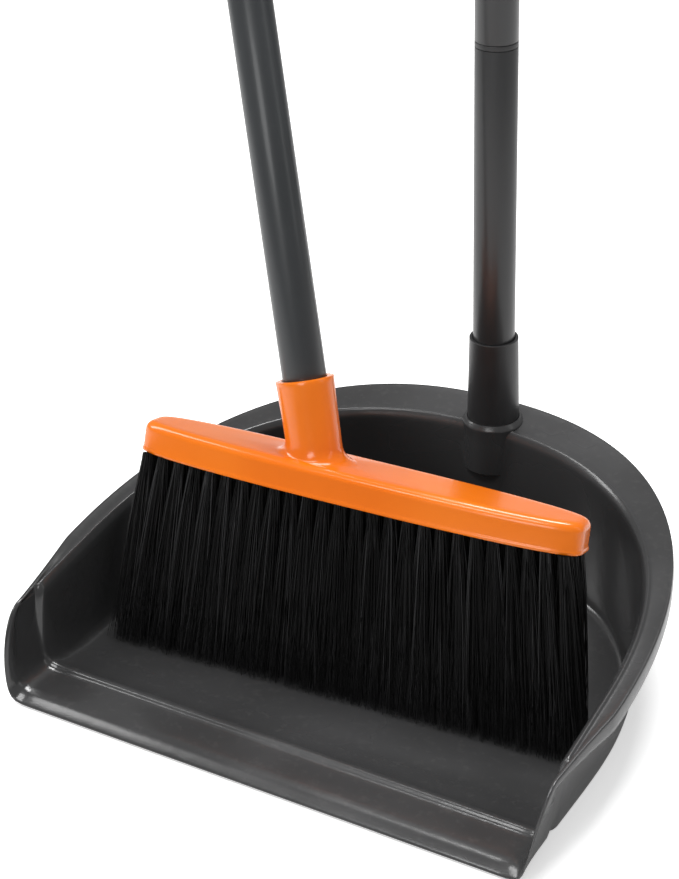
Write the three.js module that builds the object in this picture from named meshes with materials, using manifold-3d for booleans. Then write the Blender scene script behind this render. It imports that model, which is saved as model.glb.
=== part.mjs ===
// Dust pan and brush set: a lipped dust pan with an upright sectional handle, and a broom with an
// angled head and a longer sectional handle that stands in the pan. Millimetres, +Z up, +Y to the
// back. The origin is the centre of the pan's flat underside.
import * as THREE from 'three';
import { mergeVertices } from 'three/addons/utils/BufferGeometryUtils.js';
import Module from 'manifold-3d';

const wasm = await Module();
wasm.setup();

// ---- Driving dimensions --------------------------------------------------------------------

const GAP = 0.3; // clearance between pieces that touch

// Dust pan. Distances along Y are measured from the front edge of the lip.
const PAN_DEPTH = 267; // lip edge to the back of the flange
const PAN_HALF = 152.2; // half the width at the belly
const NOSE_TAPER = 7.2; // how much narrower each side starts at the front
const BELLY = 71; // where the pan is widest
const RIM_POWER = 2.3; // roundness of the flange's outline
const FLANGE_SIDE = 11.7; // flange width at the sides
const FLANGE_NOSE = 3.6; // flange width where the side walls start
const FLANGE_BACK = 27; // flange width at the back
const RIM_START = 44.9; // height of the sloping rim line over the lip edge
const RIM_SLOPE = 0.137; // rise of the rim line to the back
const NOSE_DEPTH = 20; // depth of the rounded front of each side wall
const SKIRT_HEIGHT = 10;
const PAN_WALL = 2.5;
const FLOOR = 2.5; // thickness of the tub's floor
const FLOOR_FILLET = 5; // width of the rise from the floor to the wall
const FOOT_FRONT = 40; // front of the tub's flat underside
const WALL_DRAFT_SIDE = 3.5; // how far the wall leans in from the flange to the foot
const WALL_DRAFT_BACK = 6;
const FOOT_POWER = 2.5;
const LIP_EDGE = 1.9; // thickness of the lip's front edge
const LIP_BAND = 7; // depth of the sloped band behind the edge
const LIP_SHELF_HEIGHT = 5.4;
const LIP_SHELF = 20; // depth of the flat shelf behind the band
const RIDGE_WIDTH = 3.5;
const RIDGE_HEIGHT = 1.6;
const LIP_UNDER = 2.4; // thickness of the lip's plate
const LIP_CORNER = 7; // rounding in plan at the lip's two ends

// Boss and sleeve that take the pan's handle.
const BOSS_INSET = 17; // back of the flange to the handle's axis
const BOSS_RISE = 4.5; // height of the boss's top over the rim
const BOSS_WALL = 1.9; // round the sleeve at the foot of its bore
const BOSS_TAPER = 1.1;
const SLEEVE_WALL = 1.6; // round the tube at the sleeve's top
const SLEEVE_TAPER = 0.8;
const SLEEVE_HEIGHT = 43; // above the boss
const SLEEVE_SPIGOT = 31; // below the boss's top
const SLEEVE_FLOOR = 2.7;
const LEAN_BACK = 1.1; // degrees that the pan's handle leans to the back
const LEAN_SIDE = 2.4; // degrees that it leans to the left

// Handle sections.
const TUBE_RADIUS = 11;
const TUBE_WALL = 0.25;
const PAN_TUBE_LENGTH = 230;
const PAN_TUBES = 4;
const BROOM_TUBE_LENGTH = 244;
const BROOM_TUBES = 5;
const COLLAR_HEIGHT = 2.6;
const PLUG_LENGTH = 22; // part of an insert that sits in its tube
const STUD_RADIUS = 6.5;
const STUD_LENGTH = 16;
const INSERT_WALL = 2; // of the hollow inserts and cap
const GRIP_LENGTH = 105;
const GRIP_WALL = 1.7;
const CAP_COLLAR = 6;
const CAP_LENGTH = 47; // collar and loop
const LOOP_RADIUS = 14.5;
const LOOP_HOLE_RADIUS = 7.5;
const LOOP_THICKNESS = 9;
const LOOP_FOOT_HALF = 9; // half the loop's width where it leaves the collar

// Clip on the pan's handle.
const CLIP_HEIGHT = 22;
const CLIP_WALL = 2.8;
const CLIP_SPACING = 40; // between the two handle axes when the set is clipped together
const CLIP_PLACE = 735; // bottom of the clip over the boss
const JAW_OPENING = 100; // degrees of the jaw's mouth

// Broom.
const HEAD_X = -10; // centre of the block's underside
const HEAD_Y = -17;
const HEAD_YAW = 4.4; // degrees, to the left seen from above
const HEAD_LEAN = 16.6; // degrees that the head leans to the back
const HEAD_MARGIN = 19; // from the block's end to the side of the pan's foot
const HEAD_DEPTH = 42;
const HEAD_HEIGHT = 15.5;
const HEAD_EDGE = 4.5; // rounding of the top edge
const HEAD_POWER = 4.2; // squareness of the block's outline
const HEAD_TAPER = 0.22; // share of the depth lost at the ends
const SOCKET_OFFSET = 25.5; // left of the block's middle
const SOCKET_TILT = 16.7; // degrees in the head's plane
const SOCKET_WALL = 2.5;
const SOCKET_FLOOR = 2.85; // under the screw tip
const SOCKET_FLARE = 7; // fillet at the socket's foot
const TUBE_SEAT = 30; // depth that a tube goes into the broom's socket
const BASE_THICKNESS = 3.4;
const BASE_RIM = 3; // width of the cover's wall round the base plate
const BRISTLE_LENGTH = 96; // from the block to the pan's floor along the head's middle
const TUFT_ROWS = 5;
const TUFT_ROW_PITCH = 6.2;
const TUFT_ROW_THICKNESS = 5.7;
const TUFT_INSET = 7; // from the block's end to the outer tuft
const TUFT_SPREAD_LEFT = 11; // how far a row fans out at its tips
const TUFT_SPREAD_RIGHT = 28; // on the side away from the tilted handle
const TUFT_DRAW_IN = 0.35; // how much narrower each row further back is at its right tip, per mm
const TIP_CLEARANCE = 1.8; // from the outermost tips to the wall's rise

// Facets.
const ROUND = 28;
const SMALL_ROUND = 20;
const PAN_STEPS = { front: 5, nose: 6, side: 5, back: 14 };

// ---- Sizes worked out from them ------------------------------------------------------------

const PAN_NOSE_HALF = PAN_HALF - NOSE_TAPER;
const FOOT_HALF = PAN_HALF - FLANGE_SIDE - WALL_DRAFT_SIDE;
const FOOT_BACK = PAN_DEPTH - FLANGE_BACK - WALL_DRAFT_BACK;
const ORIGIN_Y = (FOOT_FRONT + FOOT_BACK) / 2;
const BORE_RADIUS = TUBE_RADIUS + GAP; // what a tube slides into
const SLEEVE_TOP_RADIUS = BORE_RADIUS + SLEEVE_WALL;
const SLEEVE_FOOT_RADIUS = SLEEVE_TOP_RADIUS + SLEEVE_TAPER;
const BOSS_FOOT_RADIUS = SLEEVE_FOOT_RADIUS + GAP + BOSS_WALL;
const BOSS_RADIUS = BOSS_FOOT_RADIUS + BOSS_TAPER;
const GRIP_RADIUS = BORE_RADIUS + GRIP_WALL;
const SOCKET_RADIUS = BORE_RADIUS + SOCKET_WALL;
const HEAD_LENGTH = 2 * (FOOT_HALF - HEAD_MARGIN);
const PLUG_RADIUS = TUBE_RADIUS - TUBE_WALL - GAP;
const JOINT_HEIGHT = COLLAR_HEIGHT + 2 * GAP;
const TUBE_FOOT = SLEEVE_FLOOR - SLEEVE_SPIGOT + GAP; // lowest tube's end over the boss's top
const BOSS_Y = PAN_DEPTH - BOSS_INSET;
const BOSS_TOP = rimHeight(BOSS_Y) + BOSS_RISE;
const SOCKET_HEIGHT = socketHeight();

// ---- Materials -----------------------------------------------------------------------------

const panPlastic = new THREE.MeshStandardMaterial({ color: 0x3d3d3f, roughness: 0.35, metalness: 0 });
const darkPlastic = new THREE.MeshStandardMaterial({ color: 0x2a2a2c, roughness: 0.45, metalness: 0 });
const coatedSteel = new THREE.MeshStandardMaterial({ color: 0x4b4f53, roughness: 0.3, metalness: 0.4 });
const orangePlastic = new THREE.MeshStandardMaterial({ color: 0xf07812, roughness: 0.3, metalness: 0 });
const bristleFibre = new THREE.MeshStandardMaterial({ color: 0x101011, roughness: 0.6, metalness: 0 });

// ---- Helpers -------------------------------------------------------------------------------

function radians(degrees) {
  return THREE.MathUtils.degToRad(degrees);
}

function mix(a, b, share) {
  return a + (b - a) * share;
}

/** Indexed triangles with merged corners and without flat triangles. */
function weld(geometry) {
  const bare = geometry.clone();
  bare.deleteAttribute('normal');
  bare.deleteAttribute('uv');
  const merged = mergeVertices(bare, 1e-4);
  const corners = merged.index.array;
  const kept = [];
  for (let i = 0; i < corners.length; i += 3) {
    const [a, b, c] = [corners[i], corners[i + 1], corners[i + 2]];
    if (a !== b && b !== c && c !== a) kept.push(a, b, c);
  }
  merged.setIndex(kept);
  return merged;
}

/** Six times the volume inside the triangles, negative when they face inwards. */
function signedVolume(geometry) {
  const place = geometry.attributes.position;
  const [a, b, c] = [new THREE.Vector3(), new THREE.Vector3(), new THREE.Vector3()];
  let total = 0;
  for (let i = 0; i < geometry.index.count; i += 3) {
    a.fromBufferAttribute(place, geometry.index.getX(i));
    b.fromBufferAttribute(place, geometry.index.getX(i + 1));
    c.fromBufferAttribute(place, geometry.index.getX(i + 2));
    total += a.dot(b.cross(c));
  }
  return total;
}

/** The geometry as one closed solid with its faces outwards. */
function solid(geometry) {
  const welded = weld(geometry);
  if (signedVolume(welded) < 0) welded.setIndex(Array.from(welded.index.array).reverse());
  const vertProperties = new Float32Array(welded.attributes.position.array);
  const triVerts = new Uint32Array(welded.index.array);
  return new wasm.Manifold(new wasm.Mesh({ numProp: 3, vertProperties, triVerts }));
}

function geometryOf(body) {
  const mesh = body.getMesh();
  const geometry = new THREE.BufferGeometry();
  geometry.setAttribute('position', new THREE.BufferAttribute(new Float32Array(mesh.vertProperties), 3));
  geometry.setIndex(new THREE.BufferAttribute(new Uint32Array(mesh.triVerts), 1));
  geometry.computeVertexNormals();
  return geometry;
}

function part(name, body, material) {
  const mesh = new THREE.Mesh(geometryOf(body), material);
  mesh.name = name;
  return mesh;
}

/** A body turned round the Z axis from [radius, z] points. A profile off the axis closes on itself. */
function turned(profile, segments = ROUND) {
  const points = profile.map(([radius, z]) => new THREE.Vector2(radius, z));
  if (profile[0][0] > 0) points.push(points[0].clone());
  const geometry = new THREE.LatheGeometry(points, segments);
  geometry.rotateX(Math.PI / 2);
  return solid(geometry);
}

function cylinder(radius, from, to, segments = ROUND) {
  return turned([[0, from], [radius, from], [radius, to], [0, to]], segments);
}

function moved(body, matrix) {
  return solid(geometryOf(body).applyMatrix4(matrix));
}

/** A body lofted through closed rings of equally many points, with a fan over each end. */
function lofted(rings) {
  const count = rings[0].length;
  const points = rings.flat();
  const index = [];
  for (let r = 0; r + 1 < rings.length; r += 1) {
    for (let i = 0; i < count; i += 1) {
      const j = (i + 1) % count;
      const [a, b, c, d] = [r * count + i, r * count + j, (r + 1) * count + j, (r + 1) * count + i];
      index.push(a, b, c, a, c, d);
    }
  }
  for (const [ring, first] of [[rings[0], true], [rings[rings.length - 1], false]]) {
    const centre = new THREE.Vector3();
    ring.forEach((point) => centre.addScaledVector(point, 1 / count));
    points.push(centre);
    const start = first ? 0 : (rings.length - 1) * count;
    for (let i = 0; i < count; i += 1) {
      const [a, b] = [start + i, start + ((i + 1) % count)];
      if (first) index.push(b, a, points.length - 1);
      else index.push(a, b, points.length - 1);
    }
  }
  const geometry = new THREE.BufferGeometry().setFromPoints(points);
  geometry.setIndex(index);
  return solid(geometry);
}

// ---- Dust pan ------------------------------------------------------------------------------

/** Height of the flange's outer edge at a distance behind the lip edge. */
function rimHeight(y) {
  const nose = Math.min(Math.max(y / NOSE_DEPTH, 0), 1);
  return (RIM_START + RIM_SLOPE * y) * Math.sqrt(1 - (1 - nose) ** 2);
}

/**
 * One closed ring of the pan's loft, from the middle of the front round by the right. In front the
 * ring runs along the lip at lipY and lipZ. Each end of the lip turns up the side wall within rise
 * along Y, and the rest of the ring runs along the wall at the height that heightAt gives.
 */
function panRing({ lipY, lipZ, lipHalf, rise, noseHalf, half, back, power, heightAt }) {
  const right = [];
  for (let i = 0; i < PAN_STEPS.front; i += 1) {
    right.push(new THREE.Vector3((lipHalf * i) / PAN_STEPS.front, lipY, lipZ));
  }
  const sideStart = lipY + rise;
  const sideTop = heightAt(sideStart);
  const widthAt = (y) => mix(noseHalf, half, Math.min(Math.max(y / BELLY, 0), 1) ** 1.5);
  for (let i = 0; i < PAN_STEPS.nose; i += 1) {
    const turn = ((Math.PI / 2) * i) / PAN_STEPS.nose;
    const y = lipY + rise * (1 - Math.cos(turn));
    const x = mix(lipHalf, widthAt(sideStart), Math.sin(turn) ** 0.5);
    right.push(new THREE.Vector3(x, y, mix(lipZ, sideTop, Math.sin(turn))));
  }
  for (let i = 0; i < PAN_STEPS.side; i += 1) {
    const y = mix(sideStart, BELLY, i / PAN_STEPS.side);
    right.push(new THREE.Vector3(widthAt(y), y, heightAt(y)));
  }
  for (let i = 0; i <= PAN_STEPS.back; i += 1) {
    const turn = ((Math.PI / 2) * i) / PAN_STEPS.back;
    const x = i < PAN_STEPS.back ? half * Math.cos(turn) ** (2 / power) : 0;
    const y = BELLY + (back - BELLY) * Math.sin(turn) ** (2 / power);
    right.push(new THREE.Vector3(x, y, heightAt(y)));
  }
  const left = right.slice(1, -1).reverse().map((point) => new THREE.Vector3(-point.x, point.y, point.z));
  return [...right, ...left].map((point) => point.setY(point.y - ORIGIN_Y));
}

/** A ring on the tub's wall: share 0 is the foot and 1 the flange, out is its distance outwards. */
function wallRing(share, out, lip) {
  const inner = {
    noseHalf: mix(FOOT_HALF, PAN_NOSE_HALF - FLANGE_NOSE, share) + out,
    half: mix(FOOT_HALF, PAN_HALF - FLANGE_SIDE, share) + out,
    back: mix(FOOT_BACK, PAN_DEPTH - FLANGE_BACK, share) + out,
    power: mix(FOOT_POWER, RIM_POWER, share),
  };
  return panRing({ ...inner, ...lip });
}

/** A ring on the flange or its skirt, set in from the outer edge. */
function flangeRing(inset, lip) {
  const edge = { noseHalf: PAN_NOSE_HALF, half: PAN_HALF, back: PAN_DEPTH, power: RIM_POWER };
  return panRing({
    noseHalf: edge.noseHalf - inset,
    half: edge.half - inset,
    back: edge.back - inset,
    power: edge.power,
    ...lip,
  });
}

function panShell() {
  const shelfStart = LIP_BAND;
  const shelfEnd = LIP_BAND + LIP_SHELF;
  const ridgeTop = LIP_SHELF_HEIGHT + RIDGE_HEIGHT;
  const ridgeEnd = shelfEnd + RIDGE_WIDTH + 2;
  const wallHeight = (share, drop) => (y) => Math.max(mix(FLOOR, rimHeight(y), share) - drop, FLOOR);
  const skirt = (y) => SKIRT_HEIGHT * Math.min(Math.max(y / BELLY, 0.25), 1);
  const lipHalf = PAN_NOSE_HALF - LIP_CORNER;
  const shelfHalf = lipHalf - 2;
  const inner = FOOT_HALF - PAN_WALL;
  const flat = (height) => () => height;
  return lofted([
    wallRing(0, -FLOOR_FILLET, { lipY: FOOT_FRONT + 12, lipZ: FLOOR, lipHalf: inner - 12, rise: 6,
      heightAt: flat(FLOOR) }),
    wallRing(0, -2, { lipY: FOOT_FRONT + 5, lipZ: 3.8, lipHalf: inner - 4, rise: 5,
      heightAt: flat(FLOOR + 1) }),
    wallRing(0.14, -1, { lipY: ridgeEnd + 3, lipZ: 5.2, lipHalf: inner - 2, rise: 5,
      heightAt: wallHeight(0.14, 0) }),
    wallRing(0.5, 0, { lipY: ridgeEnd, lipZ: ridgeTop, lipHalf: shelfHalf, rise: 5,
      heightAt: wallHeight(0.5, 0) }),
    wallRing(0.92, 0, { lipY: shelfEnd + 2, lipZ: ridgeTop, lipHalf: shelfHalf, rise: 6,
      heightAt: wallHeight(0.95, 0) }),
    wallRing(1, 1.2, { lipY: shelfEnd, lipZ: LIP_SHELF_HEIGHT + 0.5, lipHalf: shelfHalf, rise: 9,
      heightAt: (y) => rimHeight(y) - 0.6 }),
    wallRing(1, 2.4, { lipY: shelfStart, lipZ: LIP_SHELF_HEIGHT, lipHalf: shelfHalf, rise: 16,
      heightAt: (y) => rimHeight(y) - 0.9 }),
    flangeRing(0, { lipY: 0, lipZ: LIP_EDGE, lipHalf, rise: NOSE_DEPTH, heightAt: rimHeight }),
    flangeRing(-0.8, { lipY: -0.3, lipZ: LIP_EDGE / 2, lipHalf, rise: NOSE_DEPTH + 0.6,
      heightAt: (y) => rimHeight(y) - skirt(y) }),
    flangeRing(0.8, { lipY: 0.8, lipZ: 0.2, lipHalf, rise: NOSE_DEPTH,
      heightAt: (y) => rimHeight(y) - skirt(y) }),
    flangeRing(1.4, { lipY: shelfStart + 1, lipZ: LIP_SHELF_HEIGHT - LIP_UNDER, lipHalf, rise: 16,
      heightAt: (y) => rimHeight(y) - PAN_WALL }),
    wallRing(1, PAN_WALL + 0.4, { lipY: shelfEnd - 1, lipZ: LIP_SHELF_HEIGHT - LIP_UNDER, lipHalf, rise: 11,
      heightAt: (y) => rimHeight(y) - PAN_WALL - 1.5 }),
    wallRing(0.5, PAN_WALL, { lipY: ridgeEnd - 1.5, lipZ: 3, lipHalf, rise: 8,
      heightAt: wallHeight(0.5, 0) }),
    wallRing(0.04, PAN_WALL * 0.5, { lipY: FOOT_FRONT - 1.5, lipZ: 1.6, lipHalf: FOOT_HALF - 6, rise: 7,
      heightAt: flat(1.6) }),
    wallRing(0, -1, { lipY: FOOT_FRONT, lipZ: 0, lipHalf: FOOT_HALF - 7, rise: 6, heightAt: flat(0) }),
  ]);
}

/** Where the pan's handle starts: the centre of the boss's top, leaning as the handle does. */
function handlePlace() {
  const group = new THREE.Group();
  group.position.set(0, BOSS_Y - ORIGIN_Y, BOSS_TOP);
  group.rotation.set(radians(-LEAN_BACK), radians(-LEAN_SIDE), 0);
  group.updateMatrixWorld();
  return group;
}

function panBody() {
  const place = handlePlace().matrixWorld;
  const boreDepth = SLEEVE_SPIGOT + GAP;
  const boss = moved(turned([
    [0, 0],
    [BOSS_RADIUS - 1, 0],
    [BOSS_RADIUS, -1],
    [BOSS_FOOT_RADIUS, -boreDepth],
    [BOSS_FOOT_RADIUS / 2, -boreDepth - PAN_WALL * 2],
    [0, -boreDepth - PAN_WALL * 2],
  ]), place);
  const bore = moved(cylinder(SLEEVE_FOOT_RADIUS + GAP, -boreDepth, BOSS_TOP), place);
  return panShell().add(boss).subtract(bore);
}

// ---- Handle pieces, each standing on z = 0 along +Z -----------------------------------------

function sleeve() {
  const bore = BORE_RADIUS;
  const top = SLEEVE_SPIGOT + SLEEVE_HEIGHT;
  return turned([
    [0, 0],
    [SLEEVE_FOOT_RADIUS - 1, 0],
    [SLEEVE_FOOT_RADIUS, 1],
    [SLEEVE_FOOT_RADIUS, SLEEVE_SPIGOT],
    [SLEEVE_TOP_RADIUS, top - 1],
    [SLEEVE_TOP_RADIUS - 0.6, top],
    [bore, top],
    [bore, SLEEVE_FLOOR],
    [0, SLEEVE_FLOOR],
  ]);
}

function tube(length) {
  const inside = TUBE_RADIUS - TUBE_WALL;
  return turned([[inside, 0], [TUBE_RADIUS, 0], [TUBE_RADIUS, length], [inside, length]]);
}

/** Closes the foot of a handle. */
function footPlug() {
  return turned([[0, 0], [PLUG_RADIUS, 0], [PLUG_RADIUS, PLUG_LENGTH], [0, PLUG_LENGTH]], SMALL_ROUND);
}

/** Screw end of a lower tube: its collar's foot is at z = 0. */
function maleInsert() {
  const top = COLLAR_HEIGHT + STUD_LENGTH;
  return turned([
    [0, top - INSERT_WALL],
    [STUD_RADIUS - INSERT_WALL, top - INSERT_WALL],
    [STUD_RADIUS - INSERT_WALL, -INSERT_WALL],
    [PLUG_RADIUS - INSERT_WALL, -INSERT_WALL],
    [PLUG_RADIUS - INSERT_WALL, -PLUG_LENGTH],
    [PLUG_RADIUS, -PLUG_LENGTH],
    [PLUG_RADIUS, 0],
    [TUBE_RADIUS, 0],
    [TUBE_RADIUS, COLLAR_HEIGHT],
    [STUD_RADIUS, COLLAR_HEIGHT],
    [STUD_RADIUS, top - 1],
    [STUD_RADIUS - 1, top],
    [0, top],
  ], SMALL_ROUND);
}

/** Nut in the foot of an upper tube, which takes the stud. */
function femaleInsert() {
  const bore = STUD_RADIUS + GAP;
  const roof = STUD_LENGTH + GAP;
  return turned([
    [bore, 0],
    [PLUG_RADIUS, 0],
    [PLUG_RADIUS, roof + INSERT_WALL],
    [0, roof + INSERT_WALL],
    [0, roof],
    [bore, roof],
  ].reverse(), SMALL_ROUND);
}

/** Screw tip under a broom's lowest tube: the tube's end is at z = 0. */
function screwTip() {
  return turned([
    [0, -STUD_LENGTH],
    [STUD_RADIUS - 1, -STUD_LENGTH],
    [STUD_RADIUS, 1 - STUD_LENGTH],
    [STUD_RADIUS, 0],
    [PLUG_RADIUS, GAP],
    [PLUG_RADIUS, PLUG_LENGTH],
    [0, PLUG_LENGTH],
  ], SMALL_ROUND);
}

function grip() {
  return turned([
    [BORE_RADIUS, 0],
    [GRIP_RADIUS - 0.8, 0],
    [GRIP_RADIUS, 0.8],
    [GRIP_RADIUS, GRIP_LENGTH - 0.8],
    [GRIP_RADIUS - 0.8, GRIP_LENGTH],
    [BORE_RADIUS, GRIP_LENGTH],
  ]);
}

/** Hanging cap: a plug in the tube, a collar on the tube's end and a loop over it. */
function hangCap() {
  const stem = turned([
    [0, -INSERT_WALL],
    [PLUG_RADIUS - INSERT_WALL, -INSERT_WALL],
    [PLUG_RADIUS - INSERT_WALL, -PLUG_LENGTH],
    [PLUG_RADIUS, -PLUG_LENGTH],
    [PLUG_RADIUS, GAP],
    [GRIP_RADIUS, GAP],
    [GRIP_RADIUS, CAP_COLLAR - 1],
    [GRIP_RADIUS - 2, CAP_COLLAR],
    [0, CAP_COLLAR],
  ]);
  const centre = CAP_LENGTH - LOOP_RADIUS;
  const outline = new THREE.Shape();
  outline.moveTo(-LOOP_FOOT_HALF, CAP_COLLAR / 2);
  outline.lineTo(LOOP_FOOT_HALF, CAP_COLLAR / 2);
  outline.lineTo(LOOP_FOOT_HALF, CAP_COLLAR + 2);
  outline.quadraticCurveTo(LOOP_RADIUS, centre - LOOP_RADIUS / 2, LOOP_RADIUS, centre);
  outline.absarc(0, centre, LOOP_RADIUS, 0, Math.PI, false);
  outline.quadraticCurveTo(-LOOP_RADIUS, centre - LOOP_RADIUS / 2, -LOOP_FOOT_HALF, CAP_COLLAR + 2);
  outline.closePath();
  const hole = new THREE.Path();
  hole.absarc(0, centre, LOOP_HOLE_RADIUS, 0, 2 * Math.PI, true);
  outline.holes.push(hole);
  const shape = { depth: LOOP_THICKNESS, bevelEnabled: false, curveSegments: 7 };
  const loop = new THREE.ExtrudeGeometry(outline, shape);
  loop.translate(0, 0, -LOOP_THICKNESS / 2);
  loop.rotateX(Math.PI / 2);
  return stem.add(solid(loop));
}

/** Adds the tubes, inserts, grip and cap of one handle to a group, from z = foot upwards. */
function addHandle(group, prefix, foot, count, length) {
  for (let i = 1; i <= count; i += 1) {
    const start = foot + (i - 1) * (length + JOINT_HEIGHT);
    const section = part(`${prefix}_tube_${i}`, tube(length), coatedSteel);
    section.position.z = start;
    group.add(section);
    if (i < count) {
      const male = part(`${prefix}_screw_${i}`, maleInsert(), darkPlastic);
      male.position.z = start + length + GAP;
      group.add(male);
      const female = part(`${prefix}_nut_${i}`, femaleInsert(), darkPlastic);
      female.position.z = start + length + JOINT_HEIGHT;
      group.add(female);
    }
  }
  const top = foot + count * length + (count - 1) * JOINT_HEIGHT;
  const hold = part(`${prefix}_grip`, grip(), darkPlastic);
  hold.position.z = top - GRIP_LENGTH;
  group.add(hold);
  const cap = part(`${prefix}_hang_cap`, hangCap(), orangePlastic);
  cap.position.z = top;
  group.add(cap);
}

/** Ring round the pan's handle with an open jaw beside it for the broom's handle. */
function clip() {
  const inner = BORE_RADIUS;
  const outer = BORE_RADIUS + CLIP_WALL;
  const ring = cylinder(outer, 0, CLIP_HEIGHT);
  const jawPlace = new THREE.Matrix4().makeTranslation(CLIP_SPACING, 0, 0);
  const jaw = moved(cylinder(outer, 0, CLIP_HEIGHT), jawPlace);
  const webLength = CLIP_SPACING - 2 * inner - 1;
  const web = new THREE.BoxGeometry(webLength, outer, CLIP_HEIGHT);
  web.translate(CLIP_SPACING / 2, 0, CLIP_HEIGHT / 2);
  const hole = cylinder(inner, -1, CLIP_HEIGHT + 1);
  const mouthHalf = radians(JAW_OPENING / 2);
  const reach = outer * 2;
  const wedge = new THREE.Shape([
    new THREE.Vector2(0, 0),
    new THREE.Vector2(reach, -reach * Math.tan(mouthHalf)),
    new THREE.Vector2(reach, reach * Math.tan(mouthHalf)),
  ]);
  const mouth = new THREE.ExtrudeGeometry(wedge, { depth: CLIP_HEIGHT + 2, bevelEnabled: false });
  mouth.translate(CLIP_SPACING, 0, -1);
  return ring.add(jaw).add(solid(web)).subtract(hole).subtract(moved(hole, jawPlace)).subtract(solid(mouth));
}

// ---- Broom head, in its own frame: z = 0 is the block's underside ----------------------------

/** The block's outline, drawn in by inset, at a height. */
function blockRing(inset, z) {
  const steps = 40;
  const points = [];
  const [length, depth] = [HEAD_LENGTH / 2 - inset, HEAD_DEPTH / 2 - inset];
  for (let i = 0; i < steps; i += 1) {
    const turn = (2 * Math.PI * (i + 0.5)) / steps;
    const [c, s] = [Math.cos(turn), Math.sin(turn)];
    const x = length * Math.sign(c) * Math.abs(c) ** (2 / HEAD_POWER);
    const full = depth * Math.sign(s) * Math.abs(s) ** (2 / HEAD_POWER);
    points.push(new THREE.Vector3(x, full * (1 - HEAD_TAPER * (x / length) ** 2), z));
  }
  return points;
}

/** The socket's height along its axis: the tube's seat and the screw's bore, less what the block holds. */
function socketHeight() {
  const tilt = radians(SOCKET_TILT);
  const overBore = (STUD_RADIUS + GAP) * Math.sin(tilt);
  const depth = (HEAD_HEIGHT - BASE_THICKNESS - GAP - SOCKET_FLOOR - overBore) / Math.cos(tilt);
  return TUBE_SEAT + STUD_LENGTH + GAP - depth;
}

/** The middle of the socket's foot on the block's top, along the tilted handle. */
function socketPlace() {
  const group = new THREE.Group();
  group.position.set(-SOCKET_OFFSET, 0, HEAD_HEIGHT);
  group.rotation.y = radians(-SOCKET_TILT);
  group.updateMatrixWorld();
  return group;
}

/** A ring round the socket, widened along the block and across it. */
function socketRing(along, across, z) {
  const ring = [];
  for (let i = 0; i < ROUND; i += 1) {
    const turn = (2 * Math.PI * i) / ROUND;
    const x = (SOCKET_RADIUS + along) * Math.cos(turn);
    ring.push(new THREE.Vector3(x, (SOCKET_RADIUS + across) * Math.sin(turn), z));
  }
  return ring;
}

function headCover() {
  const block = lofted([
    blockRing(0.8, 0),
    blockRing(0, 1),
    blockRing(0.6, HEAD_HEIGHT - HEAD_EDGE),
    blockRing(0.6 + HEAD_EDGE * 0.3, HEAD_HEIGHT - HEAD_EDGE * 0.3),
    blockRing(0.6 + HEAD_EDGE, HEAD_HEIGHT),
  ]);
  const pocket = lofted([
    blockRing(BASE_RIM, -1),
    blockRing(BASE_RIM, BASE_THICKNESS + GAP),
  ]);
  const place = socketPlace().matrixWorld;
  const sideFlare = Math.max(Math.min(SOCKET_FLARE, HEAD_DEPTH / 2 - HEAD_EDGE - 1 - SOCKET_RADIUS), 0.2);
  const rings = [socketRing(0, 0, -HEAD_HEIGHT / 2)];
  for (let i = 0; i <= 4; i += 1) {
    const turn = ((Math.PI / 2) * i) / 4;
    rings.push(socketRing(SOCKET_FLARE * (1 - Math.sin(turn)), sideFlare * (1 - Math.sin(turn)),
      SOCKET_FLARE * (1 - Math.cos(turn))));
  }
  rings.push(socketRing(0, 0, SOCKET_HEIGHT - 3));
  rings.push(socketRing(0.8, 0.8, SOCKET_HEIGHT - 2));
  rings.push(socketRing(0.8, 0.8, SOCKET_HEIGHT));
  const socket = moved(lofted(rings), place);
  const seat = SOCKET_HEIGHT - TUBE_SEAT;
  const bore = moved(turned([
    [0, seat - STUD_LENGTH - GAP],
    [STUD_RADIUS + GAP, seat - STUD_LENGTH - GAP],
    [STUD_RADIUS + GAP, seat - 1],
    [BORE_RADIUS, seat - 1],
    [BORE_RADIUS, SOCKET_HEIGHT + 1],
    [0, SOCKET_HEIGHT + 1],
  ]), place);
  return block.add(socket).subtract(pocket).subtract(bore);
}

function basePlate() {
  return lofted([
    blockRing(BASE_RIM + GAP, 0),
    blockRing(BASE_RIM + GAP, BASE_THICKNESS),
  ]);
}

/** Distance from the block's underside down to the pan's floor at a depth in the leaning head. */
function floorDistance(depth) {
  return BRISTLE_LENGTH - depth * Math.tan(radians(HEAD_LEAN));
}

/** Half the width of the pan's flat floor at a distance behind the lip edge. */
function floorHalf(y) {
  const share = Math.min(Math.max((y - BELLY) / (FOOT_BACK - BELLY), 0), 1);
  return FOOT_HALF * (1 - share ** FOOT_POWER) ** (1 / FOOT_POWER) - FLOOR_FILLET;
}

/** How far along the leaning head the pan's wall lets a tip reach, at a depth in the head. */
function wallReach(depth, reach, side) {
  const forward = floorDistance(depth) * Math.sin(radians(HEAD_LEAN)) - depth * Math.cos(radians(HEAD_LEAN));
  const [along, across] = [Math.cos(radians(HEAD_YAW)), Math.sin(radians(HEAD_YAW))];
  const y = ORIGIN_Y + HEAD_Y + side * reach * across - forward * along;
  return (floorHalf(y) - TIP_CLEARANCE - side * (HEAD_X + forward * across)) / along;
}

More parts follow.
